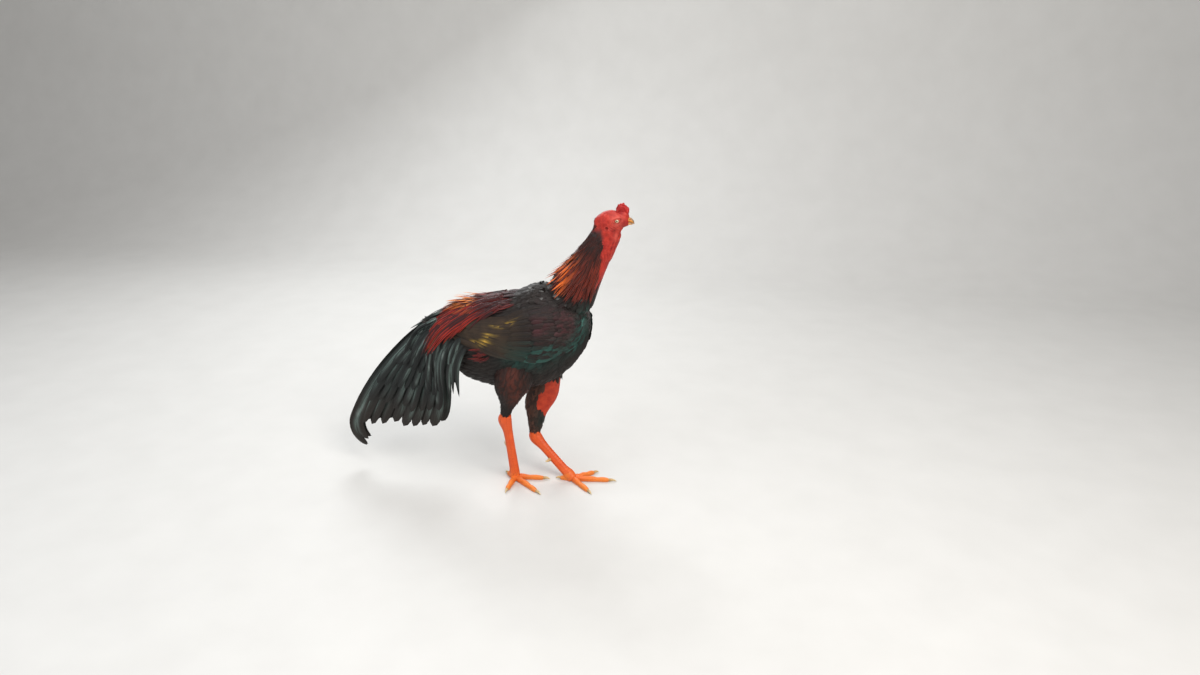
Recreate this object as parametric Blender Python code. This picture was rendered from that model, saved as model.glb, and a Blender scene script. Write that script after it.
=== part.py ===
"""Gamecock: a walking game rooster, life size, as a still model that stands on its two feet.

Frame: metres, +X towards the beak, +Y to the bird's left, +Z up, the floor at z = 0.
The right leg is the rear one, and the left leg steps forward.
"""
import math
import random

import bmesh
import bpy
import numpy as np

# Driving sizes, in metres
GAP = 0.0003
SPINE_SAMPLES = 160
TRUNK_SIDES = 18
FLAT_ANGLE = math.radians(0.1)
CENTRE_SHIFT = (0.0016, 0.0, 0.0)

UP = (0.0, 0.0, 1.0)
AHEAD = (1.0, 0.0, 0.0)
BACKWARD = (-1.0, 0.0, 0.3)

# Stations: x, y, z of the widest point, height above it, depth below it, half the width
TORSO = (
    (-0.104, 0.0, 0.366, 0.022, 0.028, 0.020),
    (-0.080, 0.0, 0.355, 0.050, 0.070, 0.038),
    (-0.040, 0.0, 0.350, 0.071, 0.104, 0.053),
    (0.010, 0.0, 0.348, 0.082, 0.118, 0.063),
    (0.060, 0.0, 0.350, 0.088, 0.124, 0.069),
    (0.105, 0.0, 0.360, 0.097, 0.130, 0.072),
    (0.140, 0.0, 0.368, 0.097, 0.128, 0.072),
    (0.180, 0.0, 0.374, 0.082, 0.108, 0.068),
    (0.210, 0.0, 0.378, 0.064, 0.078, 0.058),
    (0.227, 0.0, 0.383, 0.048, 0.052, 0.043),
    (0.238, 0.0, 0.388, 0.028, 0.028, 0.024),
)
# Neck and head stations: the same, with height towards the nape and depth towards the throat
NECK = (
    (0.172, 0.0, 0.392, 0.064, 0.040, 0.052),
    (0.205, 0.0, 0.440, 0.052, 0.046, 0.044),
    (0.234, 0.0, 0.490, 0.044, 0.036, 0.033),
    (0.254, 0.0, 0.535, 0.033, 0.034, 0.025),
    (0.270, 0.0, 0.572, 0.028, 0.034, 0.0212),
)
SKULL = (
    (0.2500, 0.0, 0.6030, 0.0060, 0.0120, 0.0080),
    (0.2580, 0.0, 0.6030, 0.0140, 0.0200, 0.0145),
    (0.2700, 0.0, 0.6030, 0.0215, 0.0240, 0.0195),
    (0.2830, 0.0, 0.6040, 0.0235, 0.0220, 0.0205),
    (0.2960, 0.0, 0.6050, 0.0215, 0.0175, 0.0185),
    (0.3070, 0.0, 0.6060, 0.0175, 0.0135, 0.0145),
    (0.3150, 0.0, 0.6070, 0.0120, 0.0105, 0.0105),
    (0.3190, 0.0, 0.6065, 0.0080, 0.0070, 0.0078),
)
THROAT = (
    (0.2701, 0.0, 0.5723, 0.0290, 0.0340, 0.0212),
    (0.2745, 0.0, 0.5835, 0.0275, 0.0335, 0.0205),
    (0.2790, 0.0, 0.5950, 0.0235, 0.0285, 0.0190),
    (0.2830, 0.0, 0.6050, 0.0150, 0.0170, 0.0150),
)
RIGHT_THIGH = (
    (0.094, -0.030, 0.312, 0.044, 0.044, 0.022),
    (0.081, -0.045, 0.264, 0.041, 0.042, 0.028),
    (0.072, -0.046, 0.236, 0.034, 0.034, 0.025),
    (0.065, -0.040, 0.200, 0.018, 0.018, 0.015),
    (0.057, -0.034, 0.170, 0.0115, 0.0115, 0.0100),
)
LEFT_THIGH = (
    (0.124, 0.028, 0.302, 0.040, 0.040, 0.022),
    (0.132, 0.044, 0.254, 0.034, 0.036, 0.027),
    (0.120, 0.046, 0.205, 0.041, 0.032, 0.024),
    (0.108, 0.042, 0.165, 0.033, 0.028, 0.020),
    (0.105, 0.035, 0.125, 0.018, 0.017, 0.014),
    (0.104, 0.031, 0.104, 0.0125, 0.0125, 0.0105),
)
RIGHT_SHANK = (
    (0.0568, -0.0338, 0.1696, 0.0112, 0.0118, 0.0098),
    (0.0545, -0.0320, 0.1550, 0.0132, 0.0160, 0.0112),
    (0.0575, -0.0280, 0.1250, 0.0104, 0.0096, 0.0078),
    (0.0610, -0.0215, 0.0750, 0.0108, 0.0084, 0.0074),
    (0.0645, -0.0150, 0.0300, 0.0112, 0.0094, 0.0082),
)
LEFT_SHANK = (
    (0.1040, 0.0308, 0.1036, 0.0118, 0.0120, 0.0100),
    (0.1070, 0.0290, 0.0900, 0.0138, 0.0146, 0.0112),
    (0.1250, 0.0250, 0.0700, 0.0108, 0.0098, 0.0080),
    (0.1530, 0.0180, 0.0430, 0.0104, 0.0092, 0.0074),
    (0.1760, 0.0125, 0.0215, 0.0104, 0.0096, 0.0082),
)


def unit(v):
    v = np.asarray(v, float)
    return v / np.linalg.norm(v, axis=-1, keepdims=True)


def smooth_rows(rows, count):
    """Values of one smooth curve through the given rows, spread evenly between them."""
    p = np.asarray(rows, float)
    p = np.vstack([2 * p[0] - p[1], p, 2 * p[-1] - p[-2]])
    t = np.linspace(0.0, len(p) - 3 - 1e-9, count)
    i = t.astype(int)
    f = (t - i)[:, None]
    a, b, c, d = p[i], p[i + 1], p[i + 2], p[i + 3]
    linear = (c - a) * f
    square = (2 * a - 5 * b + 4 * c - d) * f ** 2
    cube = (3 * b - a - 3 * c + d) * f ** 3
    return 0.5 * (2 * b + linear + square + cube)


def sweep(stations, hint, along=None):
    """A trunk or limb as a row of oval sections, worked out from a few stations."""
    rows = smooth_rows(stations, SPINE_SAMPLES)
    centre = rows[:, :3]
    if along is None:
        ahead = unit(np.gradient(centre, axis=0))
    else:
        ahead = np.tile(along, (SPINE_SAMPLES, 1)).astype(float)
    side = unit(np.cross(hint, ahead))
    return {"centre": centre, "ahead": ahead, "side": side, "up": np.cross(ahead, side),
            "rise": rows[:, 3], "drop": rows[:, 4], "half": rows[:, 5]}


def section(body, s):
    """The section at s, from 0 at the first station to 1 at the last."""
    x = min(max(s, 0.0), 1.0) * (SPINE_SAMPLES - 1)
    i = min(int(x), SPINE_SAMPLES - 2)
    f = x - i
    return {key: (1 - f) * value[i] + f * value[i + 1] for key, value in body.items()}


def on_surface(body, s, angle, lift=0.0):
    """Point and outward normal at an angle from the section's top, turning to the bird's left."""
    cut = section(body, s)
    across, over = math.sin(angle), math.cos(angle)
    depth = cut["rise"] if over > 0 else cut["drop"]
    point = cut["centre"] + cut["side"] * cut["half"] * across + cut["up"] * depth * over
    normal = unit(cut["side"] * across / cut["half"] + cut["up"] * over / depth)
    return point + normal * lift, normal


def clear_of(body, point, lift):
    """The point, moved out of the body along its section if it is nearer than lift."""
    offset = point - body["centre"]
    i = int(np.argmin(np.abs(np.einsum("ij,ij->i", offset, body["ahead"]))))
    d = offset[i]
    u, v, w = d @ body["side"][i], d @ body["up"][i], d @ body["ahead"][i]
    depth = body["rise"][i] if v > 0 else body["drop"][i]
    ratio = math.hypot(u / body["half"][i], v / depth)
    reach = math.hypot(u, v) / ratio
    scale = max(1.0, (1 + lift / reach) / ratio)
    outward = body["side"][i] * u + body["up"][i] * v
    return body["centre"][i] + body["ahead"][i] * w + outward * scale


def solid(name, verts, faces):
    """A closed mesh object with its faces turned outward."""
    mesh = bpy.data.meshes.new(name)
    mesh.from_pydata([tuple(float(c) for c in v) for v in verts], [], faces)
    bm = bmesh.new()
    bm.from_mesh(mesh)
    bmesh.ops.recalc_face_normals(bm, faces=bm.faces)
    bm.to_mesh(mesh)
    bm.free()
    item = bpy.data.objects.new(name, mesh)
    bpy.context.scene.collection.objects.link(item)
    return item


def loft(name, rings, ends=None):
    """Closed skin over rings of equal count, closed by a point at each end."""
    rings = [np.asarray(r, float) for r in rings]
    n = len(rings[0])
    first, last = ends if ends else (rings[0].mean(axis=0), rings[-1].mean(axis=0))
    verts = [v for ring in rings for v in ring] + [first, last]
    start, stop = len(verts) - 2, len(verts) - 1
    faces = []
    for r in range(len(rings) - 1):
        for k in range(n):
            a, b = r * n + k, r * n + (k + 1) % n
            faces += [(a, b, b + n), (a, b + n, a + n)]
    base = (len(rings) - 1) * n
    for k in range(n):
        faces.append((start, (k + 1) % n, k))
        faces.append((stop, base + k, base + (k + 1) % n))
    return solid(name, verts, faces)


def tube(name, body, stops, sides, grow=0.0, floor=None):
    """Closed skin of a sweep, with a ring at each stop and flat ends."""
    rings = []
    for s in stops:
        ring = [on_surface(body, s, 2 * math.pi * k / sides, grow)[0] for k in range(sides)]
        rings.append(np.array(ring))
    ends = [section(body, stops[0]), section(body, stops[-1])]
    first = ends[0]["centre"] - ends[0]["ahead"] * grow
    last = ends[1]["centre"] + ends[1]["ahead"] * grow
    rings[0] = rings[0] - ends[0]["ahead"] * grow
    rings[-1] = rings[-1] + ends[1]["ahead"] * grow
    if floor is not None:
        for ring in rings:
            ring[:, 2] = np.maximum(ring[:, 2], floor)
    return loft(name, rings, (first, last))


def sheet(name, outer, inner):
    """Closed solid between two grids of points, split into triangles alike on both faces."""
    outer, inner = np.asarray(outer, float), np.asarray(inner, float)
    m, n = outer.shape[:2]
    verts = list(outer.reshape(-1, 3)) + list(inner.reshape(-1, 3))
    shift = m * n
    faces = []
    for i in range(m - 1):
        for k in range(n - 1):
            a, b, c, d = i * n + k, i * n + k + 1, (i + 1) * n + k + 1, (i + 1) * n + k
            faces += [(a, b, c), (a, c, d)]
            faces += [(a + shift, c + shift, b + shift), (a + shift, d + shift, c + shift)]
    rim = [k for k in range(n)] + [i * n + n - 1 for i in range(1, m)]
    rim += [(m - 1) * n + k for k in range(n - 2, -1, -1)] + [i * n for i in range(m - 2, 0, -1)]
    for a, b in zip(rim, rim[1:] + rim[:1]):
        faces += [(a, a + shift, b), (b, a + shift, b + shift)]
    return solid(name, verts, faces)


def vane(name, path, normals, widths, thick, tilt=0.0):
    """A feather as a thin plate along its shaft, with one point as its tip, alike on both faces."""
    path = np.asarray(path, float)
    ahead = unit(np.gradient(path, axis=0))
    across = unit(np.cross(normals, ahead))
    flat = np.cross(ahead, across)
    across, flat = (across * math.cos(tilt) + flat * math.sin(tilt),
                    flat * math.cos(tilt) - across * math.sin(tilt))
    verts, faces = [], []
    for p, c, n, w in list(zip(path, across, flat, widths))[:-1]:
        verts += [p + c * w / 2 + n * thick / 2, p - c * w / 2 + n * thick / 2,
                  p - c * w / 2 - n * thick / 2, p + c * w / 2 - n * thick / 2]
    verts.append(path[-1])
    for i in range(len(path) - 2):
        a, b, c, d = range(4 * i, 4 * i + 4)
        faces += [(a, b, b + 4), (a, b + 4, a + 4), (d, c + 4, c), (d, d + 4, c + 4)]
        faces += [(b, c, c + 4), (b, c + 4, b + 4), (d, a, a + 4), (d, a + 4, d + 4)]
    faces += [(0, 3, 2), (0, 2, 1)]
    a, b, c, d = range(len(verts) - 5, len(verts) - 1)
    tip = len(verts) - 1
    faces += [(a, b, tip), (b, c, tip), (c, d, tip), (d, a, tip)]
    return solid(name, verts, faces)


def feather_widths(width, count, tip_share=0.55):
    """Widths along a feather: narrow at the root, full past the middle, pointed at the tip."""
    shares = [0.55 + 0.45 * math.sin(math.pi * min(1.0, 1.25 * k / (count - 1)) * 0.5)
              for k in range(count)]
    shares[-2] *= tip_share + 0.25
    shares[-1] = 0.0
    return [width * share for share in shares]


def join(name, pieces, cutters=(), solver="EXACT"):
    """One closed body: the pieces fused, the cutters taken out, the largest surface kept."""
    body = pieces[0]
    body.name = name
    if len(pieces) > 1:
        group = bpy.data.collections.new(name + "_pieces")
        for piece in pieces[1:]:
            group.objects.link(piece)
        fuse = body.modifiers.new("fuse", "BOOLEAN")
        fuse.operation = "UNION"
        fuse.operand_type = "COLLECTION"
        fuse.collection = group
        fuse.solver = solver
    for cutter in cutters:
        cut = body.modifiers.new("cut", "BOOLEAN")
        cut.operation = "DIFFERENCE"
        cut.object = cutter
        cut.solver = solver
    graph = bpy.context.evaluated_depsgraph_get()
    mesh = bpy.data.meshes.new_from_object(body.evaluated_get(graph))
    body.modifiers.clear()
    body.data = mesh
    mesh.name = name
    for piece in list(pieces[1:]) + list(cutters):
        bpy.data.objects.remove(piece)
    if len(pieces) > 1:
        bpy.data.collections.remove(group)
    keep_largest(body)
    return body


def keep_largest(body):
    """Keep only the largest closed surface of a mesh, with needless edges in flat places gone."""
    bm = bmesh.new()
    bm.from_mesh(body.data)
    bmesh.ops.dissolve_limit(bm, angle_limit=FLAT_ANGLE, verts=bm.verts, edges=bm.edges)
    bmesh.ops.triangulate(bm, faces=bm.faces)
    seen, parts = set(), []
    for face in bm.faces:
        if face in seen:
            continue
        part, stack = [], [face]
        seen.add(face)
        while stack:
            here = stack.pop()
            part.append(here)
            for edge in here.edges:
                for other in edge.link_faces:
                    if other not in seen:
                        seen.add(other)
                        stack.append(other)
        parts.append(part)
    parts.sort(key=lambda part: sum(face.calc_area() for face in part))
    loose = [face for part in parts[:-1] for face in part]
    bmesh.ops.delete(bm, geom=loose, context="FACES")
    bm.to_mesh(body.data)
    bm.free()


def finish(item, name, colour, roughness, metallic=0.0):
    """Name the object, give it its own material and put it in the bird's collection."""
    surface = bpy.data.materials.new(name)
    surface.use_nodes = True
    shader = surface.node_tree.nodes["Principled BSDF"]
    shader.inputs["Base Color"].default_value = (*colour, 1.0)
    shader.inputs["Roughness"].default_value = roughness
    shader.inputs["Metallic"].default_value = metallic
    item.name = name
    item.data.name = name
    item.data.materials.clear()
    item.data.materials.append(surface)
    for home in list(item.users_collection):
        home.objects.unlink(item)
    bird.objects.link(item)
    item.location = CENTRE_SHIFT
    return item


def spread(first, last, count):
    return [first + (last - first) * k / (count - 1) for k in range(count)]


for item in list(bpy.data.objects):
    bpy.data.objects.remove(item)
bird = bpy.data.collections.new("gamecock")
bpy.context.scene.collection.children.link(bird)

torso_form = sweep(TORSO, UP, AHEAD)
neck_form = sweep(NECK, BACKWARD)
skull_form = sweep(SKULL, UP, AHEAD)
throat_form = sweep(THROAT, BACKWARD)
thigh_forms = {"left": sweep(LEFT_THIGH, AHEAD), "right": sweep(RIGHT_THIGH, AHEAD)}
shank_forms = {"left": sweep(LEFT_SHANK, AHEAD), "right": sweep(RIGHT_SHANK, AHEAD)}
SIDES = {"left": 1, "right": -1}

BLACK = (0.012, 0.012, 0.014)
RED_BROWN = (0.16, 0.03, 0.012)
SKIN_RED = (0.52, 0.03, 0.025)
HORN = (0.70, 0.42, 0.12)
LEG_ORANGE = (0.80, 0.20, 0.03)


# Torso: breast, back and belly in one egg-shaped form
TORSO_STOPS = spread(0.0, 1.0, 16)
HEAD_SIDES = 14
HEAD_STOPS = spread(0.0, 1.0, 10)
THROAT_STOPS = spread(0.0, 1.0, 4)


def torso_skin(name, grow=0.0):
    return tube(name, torso_form, TORSO_STOPS, TRUNK_SIDES, grow)


finish(torso_skin("torso"), "torso", BLACK, 0.5)


# Neck: a core of flesh and short feathers, with hackle feathers hanging over it in tiers
NECK_LENGTH = 0.205
HACKLE_THICK = 0.0010
# Tiers: root along the neck, feather length, width, reach round from the nape, how many, flare
HACKLE_TIERS = (
    (0.965, 0.044, 0.0150, 114, 8, 0.005),
    (0.850, 0.054, 0.0165, 120, 9, 0.008),
    (0.730, 0.062, 0.0180, 134, 10, 0.011),
    (0.620, 0.064, 0.0190, 150, 11, 0.014),
    (0.520, 0.066, 0.0205, 166, 12, 0.016),
)


def hackle(tier, k, chance):
    """One hackle feather: from its root in the core, down the neck and out over the torso."""
    root, length, width, reach, count, flare = tier
    angle = math.radians(-reach + 2 * reach * (k + 0.5 * chance.uniform(-0.3, 0.3)) / (count - 1))
    length *= chance.uniform(0.92, 1.08)
    path, normals = [], []
    for t in (0.0, 0.25, 0.6, 1.0):
        rise = -0.0016 + 0.0050 * min(1.0, t * 4) + flare * t ** 1.5 * (0.30 + 0.70 * math.cos(angle / 2) ** 2)
        point, normal = on_surface(neck_form, root - t * length / NECK_LENGTH, angle, rise)
        path.append(clear_of(torso_form, point, 0.0030) if t > 0.0 else point)
        normals.append(normal)
    return vane("hackle", path, normals, feather_widths(width, 4), HACKLE_THICK, 0.10)


def feathered_neck():
    chance = random.Random(11)
    pieces = [tube("neck", neck_form, spread(0.0, 1.0, 7), 16)]
    for tier in HACKLE_TIERS:
        pieces += [hackle(tier, k, chance) for k in range(tier[4])]
    skull_room = tube("skull_room", skull_form, HEAD_STOPS, HEAD_SIDES, GAP)
    throat_room = tube("throat_room", throat_form, THROAT_STOPS, HEAD_SIDES, GAP)
    return join("neck", pieces, [torso_skin("torso_room", GAP), skull_room, throat_room])


finish(feathered_neck(), "neck", RED_BROWN, 0.5)


# Head: bare skull and cheeks, brow, lids, ear and jaw folds, with sockets for the eyes
EYE_CENTRE = (0.2995, 0.0128, 0.6085)
EYE_RADIUS = 0.0052
LID_RADIUS = 0.0052
LID_THICK = 0.0011
EAR_CENTRE = (0.2790, 0.0205, 0.5930)
EAR_RADIUS = 0.0030
BROW = (0.3000, 0.0125, 0.6165)
BROW_SIZE = (0.0085, 0.0042, 0.0028)
JAW_FOLD = (0.3040, 0.0070, 0.5915)
JAW_FOLD_SIZE = (0.0060, 0.0030, 0.0060)
LOBE = (0.2810, 0.0190, 0.5850)
LOBE_SIZE = (0.0040, 0.0034, 0.0062)


def ball(name, centre, size, segments=12, rings=8, tilt=0.0):
    """An oval ball, its size given by three half-lengths, tilted in side view."""
    bm = bmesh.new()
    bmesh.ops.create_uvsphere(bm, u_segments=segments, v_segments=rings, radius=1.0)
    cosine, sine = math.cos(tilt), math.sin(tilt)
    for v in bm.verts:
        x, y, z = v.co.x * size[0], v.co.y * size[1], v.co.z * size[2]
        v.co = (x * cosine - z * sine + centre[0], y + centre[1], x * sine + z * cosine + centre[2])
    mesh = bpy.data.meshes.new(name)
    bm.to_mesh(mesh)
    bm.free()
    item = bpy.data.objects.new(name, mesh)
    bpy.context.scene.collection.objects.link(item)
    return item


def ring(name, centre, radius, thick, lean, sides=10):
    """A round fold of skin set in a side of the head, its axis leaning out along lean."""
    axis = unit(lean)
    first = unit(np.cross(axis, UP))
    second = np.cross(axis, first)
    verts, faces = [], []
    around = 3
    for k in range(sides):
        t = 2 * math.pi * k / sides
        out = first * math.cos(t) + second * math.sin(t)
        for j in range(around):
            u = 2 * math.pi * j / around
            verts.append(np.array(centre) + out * (radius + thick * math.cos(u))
                         + axis * thick * math.sin(u))
    for k in range(sides):
        for j in range(around):
            a, b = k * around + j, k * around + (j + 1) % around
            c, d = (a + around) % (sides * around), (b + around) % (sides * around)
            faces += [(a, b, d), (a, d, c)]
    return solid(name, verts, faces)


def mirrored(point, side):
    return (point[0], point[1] * SIDES[side], point[2])


def head_skin(name, grow=0.0):
    return tube(name, skull_form, HEAD_STOPS, HEAD_SIDES, grow)


def bare_head():
    pieces = [head_skin("head"), tube("throat", throat_form, THROAT_STOPS, HEAD_SIDES)]
    cutters = []
    for side, way in SIDES.items():
        pieces.append(ball("brow", mirrored(BROW, side), BROW_SIZE, 8, 5))
        pieces.append(ball("jaw_fold", mirrored(JAW_FOLD, side), JAW_FOLD_SIZE, 8, 5))
        pieces.append(ball("lobe", mirrored(LOBE, side), LOBE_SIZE, 8, 5))
        lid_centre = mirrored((EYE_CENTRE[0] + 0.0006, EYE_CENTRE[1] + 0.0030, EYE_CENTRE[2]), side)
        pieces.append(ring("lid", lid_centre, LID_RADIUS, LID_THICK, (0.20, way, 0.05)))
        ear_rim = mirrored((EAR_CENTRE[0], EAR_CENTRE[1], EAR_CENTRE[2]), side)
        pieces.append(ring("ear_rim", ear_rim, EAR_RADIUS, 0.0009, (0.0, way, 0.1), 8))
        room = EYE_RADIUS + GAP
        cutters.append(ball("socket", mirrored(EYE_CENTRE, side), (room, room, room), 10, 7))
        deep = (EAR_RADIUS - 0.0006, 0.0040, EAR_RADIUS - 0.0006)
        cutters.append(ball("ear", mirrored((EAR_CENTRE[0], EAR_CENTRE[1] + 0.0015, EAR_CENTRE[2]),
                                            side), deep, 8, 5))
    return join("head", pieces, cutters)


finish(bare_head(), "head", SKIN_RED, 0.45)

for side in SIDES:
    eye = ball("eye", mirrored(EYE_CENTRE, side), (EYE_RADIUS,) * 3, 10, 7)
    finish(eye, "eye_" + side, (0.75, 0.62, 0.45), 0.08)


# Comb: a pea comb, three rows of small knobs standing on the crown
COMB_ROWS = ((0.0, 0.0062, 1.0), (0.0048, 0.0042, 0.82), (-0.0048, 0.0042, 0.82))
COMB_LINE = ((0.2985, 0.6280), (0.3050, 0.6345), (0.3120, 0.6345), (0.3170, 0.6275))
COMB_KNOB = 0.0066


def pea_comb():
    pieces = [ball("comb", (0.3085, 0.0, 0.6270), (0.0105, 0.0060, 0.0105), 10, 6)]
    for offset, reach, share in COMB_ROWS:
        for k, (x, z) in enumerate(COMB_LINE):
            size = COMB_KNOB * share * (1.0 - 0.08 * abs(k - 1.5))
            lift = 0.0028 * share if offset == 0.0 else -0.0010
            centre = (x, offset, z + lift)
            pieces.append(ball("knob", centre, (size * 0.72, size * 0.62, size), 6, 4))
    return join("comb", pieces, [head_skin("head_room", GAP * 2)])


finish(pea_comb(), "comb", SKIN_RED, 0.5)


# Beak: a short hooked upper half with its nostrils over a lower half, the mouth between them
UPPER_BEAK = (
    (0.3186, 0.0, 0.6085, 0.0065, 0.0035, 0.0068),
    (0.3235, 0.0, 0.6085, 0.0052, 0.0034, 0.0056),
    (0.3280, 0.0, 0.6068, 0.0036, 0.0030, 0.0038),
    (0.3310, 0.0, 0.6040, 0.0018, 0.0022, 0.0018),
    (0.3322, 0.0, 0.6008, 0.0006, 0.0007, 0.0006),
)
LOWER_BEAK = (
    (0.3186, 0.0, 0.6020, 0.0022, 0.0032, 0.0058),
    (0.3225, 0.0, 0.6018, 0.0022, 0.0028, 0.0048),
    (0.3265, 0.0, 0.6010, 0.0018, 0.0020, 0.0030),
    (0.3288, 0.0, 0.6002, 0.0010, 0.0010, 0.0012),
)
BEAK_STOPS = spread(0.0, 1.0, 6)
BEAK_SIDES = 10
NOSTRIL = (0.3222, 0.0056, 0.6105)
NOSTRIL_SIZE = (0.0019, 0.0016, 0.0009)


def beak(name, stations, cutters):
    form = sweep(stations, UP)
    return join(name, [tube(name, form, BEAK_STOPS, BEAK_SIDES)], cutters)


upper_form = sweep(UPPER_BEAK, UP)
nostrils = [ball("nostril", mirrored(NOSTRIL, side), NOSTRIL_SIZE, 8, 6) for side in SIDES]
finish(beak("beak_upper", UPPER_BEAK, nostrils + [head_skin("head_room", GAP * 2)]),
       "beak_upper", HORN, 0.4)
upper_room = tube("upper_room", upper_form, BEAK_STOPS, BEAK_SIDES, GAP)
finish(beak("beak_lower", LOWER_BEAK, [upper_room, head_skin("head_room", GAP * 2)]),
       "beak_lower", HORN, 0.4)


# Wings: folded against the torso, coverts and flight feathers overlapping in tiers
WING_FRONT, WING_REAR = 0.86, 0.42
WING_THICK = 0.012
WING_CLEAR = 0.0010
WING_VANE_THICK = 0.0010
WING_TILT = math.radians(9)
WING_SEEDS = {"left": 23, "right": 24}
# Tiers: root and tip along the torso, angles of the first and last, width, how many, lift, rise to the tip
WING_TIERS = (
    (0.540, 0.160, (62, 114), (63, 86), 0.0215, 7, 0.0030, 0.0005),
    (0.690, 0.410, (62, 115), (62, 113), 0.0235, 6, 0.0064, 0.0000),
    (0.790, 0.580, (62, 112), (62, 115), 0.0240, 5, 0.0127, -0.0010),
    (0.875, 0.710, (64, 104), (63, 112), 0.0240, 4, 0.0115, 0.0038),
)


def wing_edges(f):
    """Angles of the upper and lower edge of the folded wing, from its front, 0, to its rear, 1."""
    top = math.radians(58 - 2 * f)
    low = math.radians(104 + 14 * math.sin(math.pi * min(1.0, 0.25 + f * 0.55)) - 4)
    return top, low


def wing_core(name, side):
    outer, inner = [], []
    for s in spread(WING_FRONT, WING_REAR, 8):
        f = (WING_FRONT - s) / (WING_FRONT - WING_REAR)
        top, low = wing_edges(f)
        row_out, row_in = [], []
        for k, a in enumerate(spread(top, low, 6)):
            swell = 1.0 - abs(k - 2.5) ** 3 / 18.0
            along = min(1.0, 0.25 + 2.5 * f) * (1.0 - 0.70 * f ** 1.5)
            thick = WING_THICK * swell * along + 0.0015
            row_out.append(on_surface(torso_form, s, a * SIDES[side], WING_CLEAR + thick)[0])
            row_in.append(on_surface(torso_form, s, a * SIDES[side], WING_CLEAR)[0])
        outer.append(row_out)
        inner.append(row_in)
    return sheet(name, outer, inner)


def wing_vane(tier, k, side, chance):
    """One wing feather, following the torso's side from its root in the core to its tip."""
    root, tip, root_angles, tip_angles, width, count, lift, rise = tier
    f = k / (count - 1)
    first = root_angles[0] + (root_angles[1] - root_angles[0]) * f
    last = tip_angles[0] + (tip_angles[1] - tip_angles[0]) * f
    flight = root < 0.6
    tip += 0.10 * f - 0.014 * math.sin(math.pi * f) if flight else 0.035 * math.sin(math.pi * f)
    tip += chance.uniform(-0.012, 0.012)
    lift += chance.uniform(-0.0003, 0.0003)
    width *= chance.uniform(0.94, 1.06)
    path, normals = [], []
    steps = (0.0, 0.3, 0.6, 0.85, 1.0) if flight else (0.0, 0.45, 0.8, 1.0)
    for t in steps:
        s = root + (tip - root) * t
        angle = math.radians(first + (last - first) * t ** 1.2) * SIDES[side]
        point, normal = on_surface(torso_form, s, angle, lift + rise * t)
        path.append(point)
        normals.append(normal)
    return vane("feather", path, normals, feather_widths(width, len(steps), 0.6), WING_VANE_THICK,
                WING_TILT * SIDES[side])


def wing(side):
    chance = random.Random(WING_SEEDS[side])
    pieces = [wing_core("wing", side)]
    for tier in WING_TIERS:
        pieces += [wing_vane(tier, k, side, chance) for k in range(tier[5])]
    return join("wing", pieces, [torso_skin("torso_room", GAP)])


for side in SIDES:
    finish(wing(side), "wing_" + side, RED_BROWN, 0.5)


# Saddle: a blanket over the rump with long pointed feathers streaming back and down
SADDLE_STOPS = spread(0.04, 0.36, 6)
SADDLE_REACH = math.radians(52)
SADDLE_CLEAR = 0.0010
SADDLE_THICK = 0.0055
SADDLE_VANE_THICK = 0.0010
# Tiers: root along the torso, feather length, width, reach to each side, how many, droop
SADDLE_TIERS = (
    (0.330, 0.072, 0.0170, 42, 5, 0.12),
    (0.245, 0.088, 0.0170, 46, 6, 0.45),
    (0.165, 0.108, 0.0160, 50, 7, 0.75),
    (0.095, 0.130, 0.0160, 52, 7, 0.95),
)
SIDE_COVERT_ROOTS = (0.130, 0.095, 0.060)
SIDE_COVERT_LENGTH = 0.185
SIDE_COVERT_WIDTH = 0.0170


def saddle_shell(name, lift, thick):
    outer, inner = [], []
    angles = spread(-SADDLE_REACH, SADDLE_REACH, 8)
    for s in SADDLE_STOPS:
        front = min(1.0, 0.2 + (SADDLE_STOPS[-1] - s) * 12.0)
        edge = [front * (1.0 - (abs(a) / SADDLE_REACH) ** 4 * 0.7) for a in angles]
        outer.append([on_surface(torso_form, s, a, lift + thick * e)[0] for a, e in zip(angles, edge)])
        inner.append([on_surface(torso_form, s, a, lift)[0] for a in angles])
    return sheet(name, outer, inner)


def streaming(root, normal, length, start, hang, width, lift):
    """A feather that leaves its root along start, then bends over to hang down, clear of the torso."""
    first, last = unit(start), unit(hang)
    point = np.array(root, float)
    path, normals = [point], [normal]
    steps = (0.30, 0.34, 0.36)
    done = 0.0
    for step in steps:
        done += step
        way = unit(first * (1.0 - done) + last * done)
        point = clear_of(torso_form, point + way * length * step, lift)
        path.append(point)
        side = math.copysign(1.0, root[1])
        normals.append(unit(normal * (1.2 - done) + np.array((-0.2, side * done, 0.3 * (1.0 - done)))))
    return vane("saddle_feather", path, normals, feather_widths(width, 4), SADDLE_VANE_THICK, 0.0)


def saddle_feather(tier, k, chance):
    root, length, width, reach, count, droop = tier
    angle = math.radians(reach * (2 * (k + chance.uniform(-0.1, 0.1)) / (count - 1) - 1.0))
    point, normal = on_surface(torso_form, root, angle, SADDLE_CLEAR + 0.0032)
    across = math.sin(angle)
    start = (-1.0, 0.35 * across, 0.16 * math.cos(angle) - 0.45 * abs(across))
    hang = (-0.75, 0.10 * across, -0.35 - droop * (0.25 + 1.5 * abs(across)))
    return streaming(point, normal, length * chance.uniform(0.92, 1.06), start, hang, width, 0.0080)


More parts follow.
